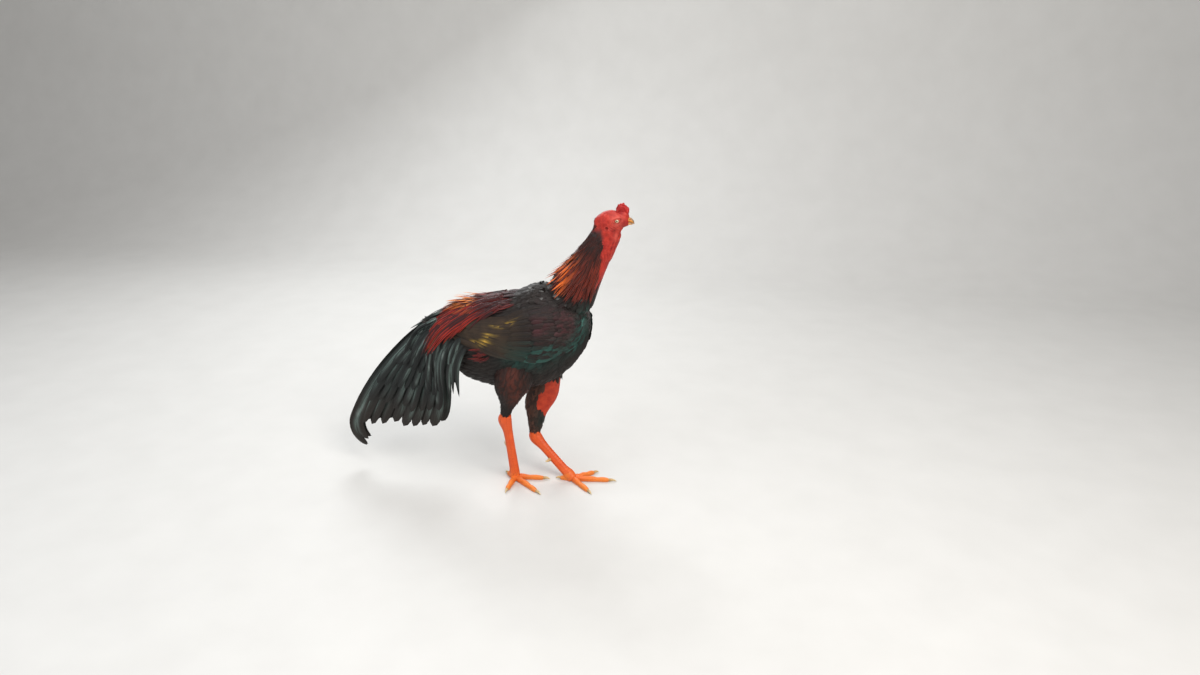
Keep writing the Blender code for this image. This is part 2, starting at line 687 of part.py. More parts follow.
def side_covert(k, side, chance):
    """A long dark feather that hangs beside the root of the tail, under the bright ones."""
    angle = SADDLE_REACH * 0.90 * SIDES[side]
    point, normal = on_surface(torso_form, SIDE_COVERT_ROOTS[k], angle, SADDLE_CLEAR + 0.0018)
    start = (-0.35, 0.75 * SIDES[side], -0.7)
    hang = (-0.06 - 0.16 * k, -0.10 * SIDES[side], -1.0)
    length = SIDE_COVERT_LENGTH * (1.0 - 0.09 * k) * chance.uniform(0.97, 1.03)
    return streaming(point, normal, length, start, hang, SIDE_COVERT_WIDTH, 0.0052)


def feathered_saddle():
    chance = random.Random(37)
    pieces = [saddle_shell("saddle", SADDLE_CLEAR, SADDLE_THICK)]
    for tier in SADDLE_TIERS:
        pieces += [saddle_feather(tier, k, chance) for k in range(tier[4])]
    for side in SIDES:
        pieces += [side_covert(k, side, chance) for k in range(len(SIDE_COVERT_ROOTS))]
    return join("saddle", pieces, [torso_skin("torso_room", GAP)])


finish(feathered_saddle(), "saddle", RED_BROWN, 0.5)


# Tail: a drooping fan of feathers in tiers on each side of the middle, curved down to the sickles
TAIL_TOP = ((-0.1000, 0.357), (-0.148, 0.352), (-0.262, 0.224), (-0.312, 0.120))
TAIL_FRONT = ((-0.1085, 0.345), (-0.128, 0.300), (-0.100, 0.200), (-0.126, 0.116))
TAIL_VANE_THICK = 0.0012
TAIL_ROOT = (-0.120, 0.352)
# Tiers: how many on a side, share of the fan's length, width, first and last place from the middle
TAIL_TIERS = (
    (6, 1.00, 0.0370, 0.0030, 0.0190),
    (4, 0.68, 0.0320, 0.0080, 0.0245),
    (3, 0.42, 0.0260, 0.0125, 0.0275),
)
SICKLES = (
    ((-0.104, 0.364), (-0.132, 0.356), (-0.172, 0.323), (-0.238, 0.252), (-0.286, 0.186),
     (-0.3172, 0.129), (-0.3265, 0.102), (-0.3235, 0.078), (-0.3125, 0.061), (-0.297, 0.047)),
    ((-0.104, 0.360), (-0.130, 0.349), (-0.166, 0.315), (-0.228, 0.246), (-0.273, 0.184),
     (-0.3020, 0.130), (-0.3110, 0.106), (-0.3090, 0.087), (-0.3010, 0.074), (-0.290, 0.066)),
)
SICKLE_WIDTH = 0.0230
# Distance from the middle at root and tip
SICKLE_PLACES = {
    "left": ((0.0013, 0.0024), (0.0034, 0.0062)),
    "right": ((0.0015, 0.0021), (0.0037, 0.0058)),
}


def bezier(points, t):
    p = np.asarray(points, float)
    return ((1 - t) ** 3 * p[0] + 3 * (1 - t) ** 2 * t * p[1]
            + 3 * (1 - t) * t ** 2 * p[2] + t ** 3 * p[3])


def tail_curve(f, t):
    """A feather's line in side view: f from 0, under the sickles, to 1, the front edge."""
    return (1 - f) * bezier(TAIL_TOP, t) + f * bezier(TAIL_FRONT, t)


def tail_vane(tier, k, side, chance):
    count, share, width, near, far = tier
    f = (k + 0.25) / (count - 0.6)
    share *= chance.uniform(0.95, 1.03)
    place = near + (far - near) * f + chance.uniform(-0.0002, 0.0002)
    path, normals = [], []
    for t in (0.0, 0.3, 0.6, 0.9, 1.0):
        x, z = tail_curve(f, t * share)
        y = place * (0.45 + 0.55 * min(1.0, t * 1.8 * share) ** 0.8)
        path.append((x, y * SIDES[side], z))
        normals.append((0.0, SIDES[side], 0.25 * (1 - t)))
    return vane("tail_feather", path, normals, feather_widths(width, 5, 0.7), TAIL_VANE_THICK, 0.0)


def sickle(k, side):
    line = smooth_rows([(x, 0.0, z) for x, z in SICKLES[k]], 9)
    line[:, 1] = SIDES[side] * np.linspace(*SICKLE_PLACES[side][k], 9)
    normals = [(0.0, SIDES[side], 0.0)] * 9
    widths = [SICKLE_WIDTH * w for w in (0.5, 0.7, 0.85, 0.95, 1.0, 1.0, 0.85, 0.5, 0.0)]
    return vane("sickle", line, normals, widths, TAIL_VANE_THICK, 0.0)


def feathered_tail():
    chance = random.Random(41)
    root = ball("tail", (TAIL_ROOT[0], 0.0, TAIL_ROOT[1]), (0.026, 0.013, 0.018), 14, 10, 0.9)
    pieces = [root]
    for side in SIDES:
        for tier in TAIL_TIERS:
            pieces += [tail_vane(tier, k, side, chance) for k in range(tier[0])]
        pieces += [sickle(k, side) for k in range(len(SICKLES))]
    return join("tail", pieces, [torso_skin("torso_room", GAP),
                                 saddle_shell("saddle_room", 0.0005, SADDLE_THICK + 0.0008)])


finish(feathered_tail(), "tail", BLACK, 0.35)


# Legs: feathered thighs cut to the torso and clear of the wings
THIGH_SIDES = 14


def wing_room(side):
    """The space of the folded wing, with a margin, which the thigh keeps clear of."""
    angles = [math.radians(a) * SIDES[side] for a in spread(80, 121, 5)]
    grids = [[[on_surface(torso_form, s, a, lift)[0] for a in angles] for s in spread(0.92, 0.2, 11)]
             for lift in (0.026, -0.010)]
    return sheet("wing_room", *grids)


def thigh_skin(name, side, grow=0.0):
    return tube(name, thigh_forms[side], spread(0.0, 1.0, 11), THIGH_SIDES, grow)


for side in SIDES:
    thigh = join("thigh", [thigh_skin("thigh", side)], [torso_skin("torso_room", GAP), wing_room(side)])
    finish(thigh, "thigh_" + side, BLACK, 0.6)


# Shanks: bare and scaled, with broad scutes down the front and the back
SHANK_SIDES = 10
SHANK_SCUTES = 9
SHANK_SCALED = (0.10, 0.97)
SCUTE_LIFT = 0.0009
SCUTE_SHARE = 0.82
SCUTE_REACH = math.cos(math.radians(50))


def shank_skin(name, side, grow=0.0):
    return tube(name, shank_forms[side], spread(0.0, 1.0, 9), SHANK_SIDES, grow)


def scaled_tube(name, body, first, last, count, sides, grow=0.0, floor=None):
    """Closed skin of a sweep with a row of scales on its front, each proud at its lower edge."""
    step = (last - first) / count
    stops = [(0.0, 0.0)]
    for k in range(count):
        stops += [(first + step * k, 0.0), (first + step * (k + SCUTE_SHARE), SCUTE_LIFT)]
    stops.append((1.0, 0.0))
    rings = []
    for s, lift in stops:
        ring = []
        for k in range(sides):
            angle = 2 * math.pi * k / sides
            proud = lift if abs(math.cos(angle)) > SCUTE_REACH else 0.0
            ring.append(on_surface(body, s, angle, proud + grow)[0])
        rings.append(np.array(ring))
    ends = (section(body, 0.0)["centre"], section(body, 1.0)["centre"])
    if floor is not None:
        for ring in rings:
            ring[:, 2] = np.maximum(ring[:, 2], floor)
    return loft(name, rings, ends)


def scaled_shank(name, side, grow=0.0):
    return scaled_tube(name, shank_forms[side], *SHANK_SCALED, SHANK_SCUTES, SHANK_SIDES, grow)


def shank(side):
    return join("shank", [scaled_shank("shank", side)], [thigh_skin("thigh_room", side, GAP)])


for side in SIDES:
    finish(shank(side), "shank_" + side, LEG_ORANGE, 0.45)


# Spurs: short horn cones on the inner side of each shank, towards the back
SPUR_PLACE = 0.70
SPUR_ANGLE = math.radians(142)
SPUR_RADIUS = 0.0044
SPUR_LENGTH = 0.0150


def spur(side):
    angle = -SPUR_ANGLE * SIDES[side]
    root, normal = on_surface(shank_forms[side], SPUR_PLACE, angle, SCUTE_LIFT + GAP)
    up = np.array((0.0, 0.0, 0.35))
    rows = []
    for t, r in ((0.0, 1.0), (0.4, 0.72), (0.75, 0.40), (1.0, 0.08)):
        p = root + (normal + up * t) * SPUR_LENGTH * t - normal * (1.0 - t) * 0.0015
        rows.append((*p, SPUR_RADIUS * r, SPUR_RADIUS * r, SPUR_RADIUS * r))
    cone = tube("spur", sweep(rows, UP), spread(0.0, 1.0, 4), 7)
    return join("spur", [cone], [scaled_shank("shank_room", side, GAP)])


for side in SIDES:
    finish(spur(side), "spur_" + side, HORN, 0.4)


# Feet: four toes joined under the ankle, flat where they meet the floor, scales along their tops
ANKLES = {"right": (0.0660, -0.0110), "left": (0.1970, 0.0060)}
TOE_NAMES = ("inner", "middle", "outer", "hind")
TOE_HEADINGS = {
    "right": (8.0, -40.0, -92.0, 140.0),
    "left": (-46.0, 7.0, 44.0, 178.0),
}
TOE_LENGTHS = (0.066, 0.084, 0.058, 0.028)
TOE_PADS = (2, 3, 3, 1)
TOE_SCUTES = (4, 6, 4, 2)
TOE_SINK = 0.74
TOE_SIDES = 8
TOE_SCALED = (0.30, 0.96)
FOOT_SIDES = 10


def toe_form(side, k):
    """A toe lies along its heading, with a pad under each joint."""
    heading = math.radians(TOE_HEADINGS[side][k])
    way = np.array((math.cos(heading), math.sin(heading), 0.0))
    start = np.array((*ANKLES[side], 0.0))
    count = 2 * TOE_PADS[k] + 2
    rows = []
    for i in range(count):
        f = i / (count - 1)
        size = (0.0073 - 0.0026 * f) * (1.06 if i % 2 else 0.92)
        point = start + way * (TOE_LENGTHS[k] * f)
        rows.append((point[0], point[1], size * TOE_SINK, size, size, size * 0.92))
    return sweep(rows, UP)


def foot(side):
    end = section(shank_forms[side], 1.0)
    ankle = ANKLES[side]
    top = end["centre"] + end["ahead"] * GAP
    rows = [(top[0], top[1], top[2], end["rise"], end["drop"], end["half"]),
            (top[0] * 0.4 + ankle[0] * 0.6, top[1] * 0.4 + ankle[1] * 0.6, 0.013, 0.012, 0.0115, 0.0100),
            (ankle[0], ankle[1], 0.0, 0.0110, 0.0110, 0.0108)]
    pieces = [tube("ankle", sweep(rows, AHEAD), spread(0.0, 1.0, 5), FOOT_SIDES, 0.0, 0.0)]
    for k, count in enumerate(TOE_SCUTES):
        pieces.append(scaled_tube("toe", toe_form(side, k), *TOE_SCALED, count, TOE_SIDES, 0.0, 0.0))
    return join("foot", pieces, [shank_skin("shank_room", side, GAP)])


for side in SIDES:
    finish(foot(side), "foot_" + side, LEG_ORANGE, 0.45)


# Claws: curved horn at the end of each toe, its point on the floor
CLAW_LENGTHS = (0.014, 0.016, 0.013, 0.012)
# Share of the length, height of the middle, radius
CLAW_LINE = ((0.0, 0.0037, 0.0034), (0.35, 0.0045, 0.0028), (0.7, 0.0036, 0.0019), (1.0, 0.0010, 0.0006))


def claw(side, k):
    """Horn that starts at the flat end of its toe."""
    tip = section(toe_form(side, k), 1.0)
    start = tip["centre"] + tip["ahead"] * GAP
    rows = []
    for share, height, radius in CLAW_LINE:
        p = start + tip["ahead"] * CLAW_LENGTHS[k] * share
        rows.append((p[0], p[1], height, radius, radius, radius * 0.8))
    return tube("claw", sweep(rows, UP, tip["ahead"]), spread(0.0, 1.0, 4), 7, 0.0, 0.0)


for side in SIDES:
    for k, toe in enumerate(TOE_NAMES):
        finish(claw(side, k), "claw_%s_%s" % (side, toe), HORN, 0.35)
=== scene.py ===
"""Gamecock: a walking game rooster, dressed as in life on the frame of its solids.

Metres, +X towards the beak, +Y to the bird's left, +Z up. The floor is z = 0.
"""
import math

import bmesh
import bpy
import numpy as np
from mathutils import Matrix, Vector, noise
from mathutils.bvhtree import BVHTree


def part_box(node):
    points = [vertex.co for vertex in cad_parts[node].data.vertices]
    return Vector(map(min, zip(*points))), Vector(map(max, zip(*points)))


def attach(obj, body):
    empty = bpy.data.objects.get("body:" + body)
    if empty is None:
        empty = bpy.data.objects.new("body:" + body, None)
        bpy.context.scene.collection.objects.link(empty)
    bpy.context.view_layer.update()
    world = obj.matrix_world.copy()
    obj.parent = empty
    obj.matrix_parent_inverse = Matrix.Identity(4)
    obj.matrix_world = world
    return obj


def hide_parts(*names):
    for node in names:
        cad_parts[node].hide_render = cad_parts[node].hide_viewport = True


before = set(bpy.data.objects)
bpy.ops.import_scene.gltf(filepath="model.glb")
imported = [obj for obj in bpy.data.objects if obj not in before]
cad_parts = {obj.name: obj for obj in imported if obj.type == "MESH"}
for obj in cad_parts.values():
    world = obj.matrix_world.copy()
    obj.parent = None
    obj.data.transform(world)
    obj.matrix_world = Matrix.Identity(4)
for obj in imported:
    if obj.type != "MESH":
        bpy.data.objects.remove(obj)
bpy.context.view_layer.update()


# Studio: a pale floor and wall in one sweep, large soft lamps, and the camera, which stands on
# the bird's right and looks down on it a little, at the height of a person who crouches.
FOCAL_PIXELS, FRAME_PIXELS, SENSOR_WIDTH = 900.0, 1200.0, 36.0
CAMERA_PLACE = (0.6101, -1.7835, 0.9846)
CAMERA_TURN, CAMERA_DIP = math.radians(11.0), math.radians(19.2)
# Lamp: place, what it faces, width, power in watts, colour
LAMPS = {
    "key": ((1.5, -1.5, 2.1), (0.05, 0.0, 0.35), 1.4, 50.0, (1.0, 0.97, 0.93)),
    "fill": ((-1.6, -1.7, 1.4), (0.0, 0.0, 0.30), 1.8, 20.0, (0.90, 0.95, 1.0)),
    "rim": ((-0.9, 1.7, 1.9), (0.0, 0.0, 0.35), 1.2, 34.0, (0.95, 0.98, 1.0)),
    "window": ((0.3, -0.4, 2.6), (0.0, 0.0, 0.3), 1.6, 26.0, (1.0, 1.0, 1.0)),
}


class Dye:
    """A value in a material. Sums and products of such values make the Math nodes that they need."""

    def __init__(self, paint, socket):
        self.paint, self.socket = paint, socket

    def maths(self, operation, first, second=0.0):
        return self.paint.add("ShaderNodeMath", {"operation": operation}, {0: first, 1: second})

    def __add__(self, other):
        return self.maths("ADD", self, other)

    def __sub__(self, other):
        return self.maths("SUBTRACT", self, other)

    def __rsub__(self, other):
        return self.maths("SUBTRACT", other, self)

    def __mul__(self, other):
        return self.maths("MULTIPLY", self, other)

    def __abs__(self):
        return self.maths("ABSOLUTE", self)

    __radd__ = __add__

    def sine(self):
        return self.maths("SINE", self)

    def step(self, low, high):
        """0 below low, 1 above high, and smooth between."""
        return self.paint.add("ShaderNodeMapRange", {"interpolation_type": "SMOOTHSTEP"},
                              {"Value": self, "From Min": low, "From Max": high})


class Paint:
    """A material under the brush: its nodes, and its one surface shader."""

    def __init__(self, name):
        self.material = bpy.data.materials.new(name)
        self.material.use_nodes = True
        self.nodes, self.links = self.material.node_tree.nodes, self.material.node_tree.links
        self.shader = self.nodes["Principled BSDF"]

    def add(self, kind, settings=None, values=None, out=0):
        """Any node: its type, its settings, the values or links of its sockets, and which output."""
        node = self.nodes.new(kind)
        for key, value in (settings or {}).items():
            setattr(node, key, value)
        for key, value in (values or {}).items():
            self.fill(node.inputs[key], value)
        return Dye(self, node.outputs[out])

    def fill(self, socket, value):
        if isinstance(value, Dye):
            self.links.new(value.socket, socket)
        elif socket.type == "RGBA":
            socket.default_value = (*value, 1.0)
        else:
            socket.default_value = value

    def layers(self, colour, *coats):
        """A colour under coats laid over one another: each is its share and its colour."""
        for share, over in coats:
            colour = self.add("ShaderNodeMix", {"data_type": "RGBA"}, {0: share, 6: colour, 7: over}, 2)
        return colour

    def attribute(self, name):
        """The three values that a mesh keeps at its points under a name."""
        found = self.add("ShaderNodeAttribute", {"attribute_name": name}, out="Vector")
        return [self.add("ShaderNodeSeparateXYZ", values={0: found}, out=k) for k in range(3)]

    def place(self):
        return self.add("ShaderNodeTexCoord", out="Object")

    def speckle(self, scale, detail=3.0, where=None):
        values = {"Vector": where or self.place(), "Scale": scale, "Detail": detail}
        return self.add("ShaderNodeTexNoise", values=values)

    def cells(self, scale):
        return self.add("ShaderNodeTexVoronoi", values={"Vector": self.place(), "Scale": scale})

    def relief(self, height, strength, depth):
        values = {"Height": height, "Strength": strength, "Distance": depth}
        return self.add("ShaderNodeBump", values=values)

    def coat(self, **sockets):
        """Sets the surface shader: each name is a socket's, with _ for a space."""
        for name, value in sockets.items():
            self.fill(self.shader.inputs[name.replace("_", " ")], value)
        return self.material


# Floor and wall: how far they reach to the front, the rear, up and aside, the bend between them
FLOOR_REACH, WALL_PLACE, WALL_HEIGHT, FLOOR_ASIDE, BEND, BEND_STEPS = 4.0, 2.6, 3.4, 5.0, 0.9, 12
AIR_COLOUR, AIR_STRENGTH = (0.84, 0.84, 0.84), 0.44


def link(name, data):
    item = bpy.data.objects.new(name, data)
    bpy.context.scene.collection.objects.link(item)
    return item


def studio():
    profile = [(-FLOOR_REACH, 0.0), (WALL_PLACE - BEND, 0.0)]
    for k in range(1, BEND_STEPS + 1):
        turn = math.pi / 2 * k / BEND_STEPS
        profile.append((WALL_PLACE - BEND + BEND * math.sin(turn), BEND - BEND * math.cos(turn)))
    profile.append((WALL_PLACE, WALL_HEIGHT))
    mesh = bpy.data.meshes.new("studio_floor")
    verts = [(x, y, z) for y, z in profile for x in (-FLOOR_ASIDE, FLOOR_ASIDE)]
    faces = [(2 * k, 2 * k + 1, 2 * k + 3, 2 * k + 2) for k in range(len(profile) - 1)]
    mesh.from_pydata(verts, [], faces)
    mesh.shade_smooth()
    paint = Paint("studio_floor")
    tone = paint.layers((0.60, 0.59, 0.57), (paint.speckle(9.0), (0.66, 0.65, 0.63)))
    mesh.materials.append(paint.coat(Base_Color=tone, Roughness=0.65))
    link("studio_floor", mesh)

    for name, (place, target, width, power, colour) in LAMPS.items():
        lamp = bpy.data.lights.new(name, "AREA")
        lamp.size, lamp.energy, lamp.color = width, power, colour
        holder = link(name, lamp)
        holder.location = place
        holder.rotation_euler = (Vector(target) - Vector(place)).to_track_quat("-Z", "Y").to_euler()

    world = bpy.data.worlds.new("studio_air")
    world.use_nodes = True
    air = world.node_tree.nodes["Background"].inputs
    air["Color"].default_value = (*AIR_COLOUR, 1.0)
    air["Strength"].default_value = AIR_STRENGTH
    bpy.context.scene.world = world

    lens = bpy.data.cameras.new("camera")
    lens.sensor_width = SENSOR_WIDTH
    lens.lens = SENSOR_WIDTH * FOCAL_PIXELS / FRAME_PIXELS
    camera = link("camera", lens)
    camera.location = CAMERA_PLACE
    camera.rotation_euler = (math.pi / 2 - CAMERA_DIP, 0.0, CAMERA_TURN)
    bpy.context.scene.camera = camera
    bpy.context.scene.view_settings.view_transform = "Standard"


studio()


# Skin: one bare hide over breast, belly, neck, head and thighs, thick and red where it shows on
# the face, the throat and the knees. It is grown as one body, so that it has no seam, and it
# lies under the feathers by their depth.
GROWTH = 0.0060
# Stations: x, y, z of the widest point, height above it, depth below it, half the width. The rear
# ones lie up to 18 mm lower than the solids' torso, as the photo has the back.
TORSO = (
    (-0.104, 0.0, 0.362, 0.012, 0.026, 0.020),
    (-0.080, 0.0, 0.353, 0.034, 0.068, 0.038),
    (-0.040, 0.0, 0.349, 0.064, 0.103, 0.053),
    (0.010, 0.0, 0.348, 0.081, 0.118, 0.063),
    (0.060, 0.0, 0.350, 0.088, 0.124, 0.069),
    (0.105, 0.0, 0.360, 0.097, 0.130, 0.072),
    (0.140, 0.0, 0.368, 0.097, 0.128, 0.072),
    (0.180, 0.0, 0.374, 0.082, 0.108, 0.068),
    (0.210, 0.0, 0.378, 0.064, 0.078, 0.058),
    (0.227, 0.0, 0.383, 0.048, 0.052, 0.043),
    (0.238, 0.0, 0.388, 0.028, 0.028, 0.024),
)
NECK = (
    (0.172, 0.0, 0.392, 0.064, 0.040, 0.052),
    (0.205, 0.0, 0.440, 0.052, 0.046, 0.044),
    (0.234, 0.0, 0.490, 0.044, 0.036, 0.033),
    (0.254, 0.0, 0.535, 0.033, 0.034, 0.025),
    (0.270, 0.0, 0.572, 0.028, 0.034, 0.0212),
)
SKULL = (
    (0.2500, 0.0, 0.6030, 0.0060, 0.0120, 0.0080),
    (0.2580, 0.0, 0.6030, 0.0140, 0.0200, 0.0145),
    (0.2700, 0.0, 0.6030, 0.0215, 0.0240, 0.0195),
    (0.2830, 0.0, 0.6040, 0.0235, 0.0220, 0.0205),
    (0.2960, 0.0, 0.6050, 0.0215, 0.0175, 0.0185),
    (0.3070, 0.0, 0.6060, 0.0178, 0.0145, 0.0150),
    (0.3150, 0.0, 0.6065, 0.0140, 0.0122, 0.0120),
    (0.3195, 0.0, 0.6065, 0.0108, 0.0100, 0.0096),
    (0.3225, 0.0, 0.6068, 0.0078, 0.0076, 0.0070),
)
THROAT = (
    (0.2540, 0.0, 0.5350, 0.0330, 0.0340, 0.0250),
    (0.2701, 0.0, 0.5723, 0.0290, 0.0340, 0.0212),
    (0.2745, 0.0, 0.5835, 0.0275, 0.0335, 0.0205),
    (0.2790, 0.0, 0.5950, 0.0235, 0.0285, 0.0190),
    (0.2830, 0.0, 0.6050, 0.0150, 0.0170, 0.0150),
)
THIGHS = {
    "right": (
        (0.094, -0.030, 0.312, 0.044, 0.044, 0.022),
        (0.081, -0.045, 0.264, 0.041, 0.042, 0.028),
        (0.072, -0.046, 0.236, 0.034, 0.034, 0.025),
        (0.065, -0.040, 0.200, 0.018, 0.018, 0.015),
        (0.057, -0.034, 0.170, 0.0115, 0.0115, 0.0100),
    ),
    "left": (
        (0.124, 0.028, 0.302, 0.040, 0.040, 0.022),
        (0.132, 0.044, 0.254, 0.034, 0.036, 0.027),
        (0.120, 0.046, 0.205, 0.041, 0.032, 0.024),
        (0.108, 0.042, 0.165, 0.033, 0.028, 0.020),
        (0.105, 0.035, 0.125, 0.018, 0.017, 0.014),
        (0.104, 0.031, 0.104, 0.0125, 0.0125, 0.0105),
    ),
}
SIDES = {"left": 1.0, "right": -1.0}
UP, AHEAD, BACKWARD = (0.0, 0.0, 1.0), (1.0, 0.0, 0.0), (-1.0, 0.0, 0.3)
SHIFT = np.array((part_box("torso")[0].x - TORSO[0][0], 0.0, 0.0))


def unit(v):
    v = np.asarray(v, float)
    return v / np.maximum(np.linalg.norm(v, axis=-1, keepdims=True), 1e-12)


def smooth_rows(rows, count):
    """Values of one smooth curve through the given rows, spread evenly between them."""
    p = np.asarray(rows, float)
    p = np.vstack([2 * p[0] - p[1], p, 2 * p[-1] - p[-2]])
    t = np.linspace(0.0, len(p) - 3 - 1e-9, count)
    i = t.astype(int)
    f = (t - i)[:, None]
    a, b, c, d = p[i], p[i + 1], p[i + 2], p[i + 3]
    linear, square = (c - a) * f, (2 * a - 5 * b + 4 * c - d) * f ** 2
    return 0.5 * (2 * b + linear + square + (3 * b - a - 3 * c + d) * f ** 3)


class Form:
    """A trunk or limb as oval sections along a line, with places on it by share and angle."""

    # Every fourth section is looked at for the nearest; ends push nothing that is further past them
    stride, end_reach = 4, 0.012

    def __init__(self, stations, hint, along=None, count=240):
        rows = smooth_rows(stations, count)
        self.count = count
        self.centre = rows[:, :3] + SHIFT
        self.rise, self.drop, self.half = rows[:, 3], rows[:, 4], rows[:, 5]
        if along is None:
            self.ahead = unit(np.gradient(self.centre, axis=0))
        else:
            self.ahead = np.tile(np.array(along, float), (count, 1))
        self.side = unit(np.cross(hint, self.ahead))
        self.up = np.cross(self.ahead, self.side)
        self.length = np.linalg.norm(np.diff(self.centre, axis=0), axis=1).sum()

    def at(self, s):
        inside = np.clip(s, 0.0, 1.0)
        x = inside * (self.count - 1)
        i = np.minimum(x.astype(int), self.count - 2)
        f = x - i
        picked = []
        for value in (self.centre, self.ahead, self.side, self.up, self.rise, self.drop, self.half):
            g = f[..., None] if value.ndim == 2 else f
            picked.append((1 - g) * value[i] + g * value[i + 1])
        picked[0] = picked[0] + picked[1] * ((s - inside) * self.length)[..., None]
        return picked

    def surface(self, s, angle, lift=0.0):
        """Points and outward normals at angles from the top, turning to the bird's left."""
        s, angle = np.broadcast_arrays(np.asarray(s, float), np.asarray(angle, float))
        centre, _, side, up, rise, drop, half = self.at(s)
        across, over = np.sin(angle), np.cos(angle)
        depth = np.where(over > 0, rise, drop)
        flat = side * (half * across)[..., None] + up * (depth * over)[..., None]
        normal = unit(side * (across / half)[..., None] + up * (over / depth)[..., None])
        return centre + flat + normal * np.asarray(lift)[..., None], normal

    def around(self, s):
        """Mean distance from the middle to the surface."""
        rise, drop, half = self.at(np.asarray(s, float))[4:]
        return (rise + drop + 2 * half) / 4

    def nearest(self, points):
        """Of each point: the nearest section, how far off that is, and its place aside, over and ahead."""
        gaps = np.linalg.norm(points[:, None] - self.centre[None, ::self.stride], axis=2)
        i = np.argmin(gaps, axis=1) * self.stride
        offset = points - self.centre[i]
        return i, gaps.min(axis=1), *((offset * way[i]).sum(1) for way in (self.side, self.up, self.ahead))

    def clear(self, points, lift):
        """The points, moved out of the form along its sections where nearer than lift."""
        lifts = np.broadcast_to(lift, points.shape[:-1]).reshape(-1)
        i, _, u, v, w = self.nearest(points.reshape(-1, 3))
        depth = np.where(v > 0, self.rise[i], self.drop[i])
        ratio = np.maximum(np.hypot(u / self.half[i], v / depth), 1e-6)
        reach = np.hypot(u, v) / ratio
        inside = np.abs(w) < self.end_reach
        scale = np.where(inside, np.maximum(1.0, (1 + lifts / np.maximum(reach, 1e-5)) / ratio), 1.0)
        moved = (self.centre[i] + self.ahead[i] * w[:, None]
                 + self.side[i] * (u * scale)[:, None] + self.up[i] * (v * scale)[:, None])
        return moved.reshape(points.shape)


torso_form = Form(TORSO, UP, AHEAD)
neck_form = Form(NECK, BACKWARD)
skull_form = Form(SKULL, UP, AHEAD)
throat_form = Form(THROAT, BACKWARD)
thigh_forms = {side: Form(THIGHS[side], AHEAD) for side in SIDES}


def grid_mesh(name, points):
    """A closed mesh over rings of points, with a fan over the first and the last of them."""
    rows, cols = points.shape[:2]
    verts = [*points.reshape(-1, 3), points[0].mean(axis=0), points[-1].mean(axis=0)]
    faces = []
    for i in range(rows - 1):
        for k in range(cols):
            a, b = i * cols + k, i * cols + (k + 1) % cols
            faces.append((a, b, b + cols, a + cols))
    n = rows * cols
    for k in range(cols):
        faces.append((n, (k + 1) % cols, k))
        faces.append((n + 1, n - cols + k, n - cols + (k + 1) % cols))
    mesh = bpy.data.meshes.new(name)
    mesh.from_pydata([tuple(v) for v in verts], [], faces)
    bm = bmesh.new()
    bm.from_mesh(mesh)
    bmesh.ops.recalc_face_normals(bm, faces=bm.faces)
    bm.to_mesh(mesh)
    bm.free()
    mesh.shade_smooth()
    return mesh


def tube_points(form, stops, sides, lift=0.0):
    """Rings of points round a form, at its shares."""
    angles = np.arange(sides) * (2 * math.pi / sides)
    return form.surface(np.asarray(stops)[:, None], angles[None, :], lift)[0]


def ball_mesh(name, centre, size, segments=24, rings=16):
    bm = bmesh.new()
    bmesh.ops.create_uvsphere(bm, u_segments=segments, v_segments=rings, radius=1.0)
    bm.transform(Matrix.Translation(Vector(centre) + Vector(SHIFT)) @ Matrix.Diagonal((*size, 1.0)))
    mesh = bpy.data.meshes.new(name)
    bm.to_mesh(mesh)
    bm.free()
    mesh.shade_smooth()
    return mesh


def fuse(name, meshes, voxel, smoothing=4):
    """Overlapping closed meshes grown together into one even skin."""
    bm = bmesh.new()
    for mesh in meshes:
        bm.from_mesh(mesh)
    joined = bpy.data.meshes.new(name)
    bm.to_mesh(joined)
    bm.free()
    item = link(name, joined)
    remesh = item.modifiers.new("grow", "REMESH")
    remesh.mode, remesh.voxel_size = "VOXEL", voxel
    smooth = item.modifiers.new("smooth", "SMOOTH")
    smooth.factor, smooth.iterations = 0.5, smoothing
    graph = bpy.context.evaluated_depsgraph_get()
    mesh = bpy.data.meshes.new_from_object(item.evaluated_get(graph))
    item.modifiers.clear()
    item.data = mesh
    mesh.shade_smooth()
    return item


def read_points(mesh):
    """The places of a mesh's points, and the ways in which it faces there."""
    read = []
    for source, field in ((mesh.vertices, "co"), (mesh.vertex_normals, "vector")):
        values = np.empty(len(source) * 3, np.float32)
        source.foreach_get(field, values)
        read.append(values.reshape(-1, 3).astype(float))
    return read


def move_points(mesh, points):
    mesh.vertices.foreach_set("co", points.astype(np.float32).ravel())
    mesh.update()
    mesh.shade_smooth()


def keep_values(mesh, name, values):
    """Stores three values for each point of the mesh under a name."""
    kept = mesh.attributes.new(name, "FLOAT_VECTOR", "POINT")
    kept.data.foreach_set("vector", np.asarray(values, np.float32).ravel())


def smoothstep(x, low, high):
    t = np.clip((x - low) / (high - low), 0.0, 1.0)
    return t * t * (3 - 2 * t)


def bell(distance, width):
    return np.exp(-(distance / width) ** 2)


def dress(item, paint, slot, *nodes):
    """Sets a piece on the bird: its material, its body and the nodes that it replaces. The slot is not used.
    """
    item.data.materials.append(paint)
    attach(item, "root")
    if nodes:
        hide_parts(*nodes)
    return item


# Eye and ear, on which the folds of the face are centred
EYE_CENTRE, EYE_RADIUS = np.array((0.2995, 0.0132, 0.6085)), 0.0052
EAR_CENTRE = np.array((0.2790, 0.0205, 0.5930))
# Rings round the eye: how far out, how wide, how high
LID, LID_GROOVE = (0.0051, 0.0010, 0.0015), (0.0074, 0.0011, 0.0006)
LID_FOLDS = ((0.0092, 0.0008, 0.0005), (0.0114, 0.0008, 0.0004), (0.0136, 0.0008, 0.0003))
SOCKET_DEPTH = 0.0042
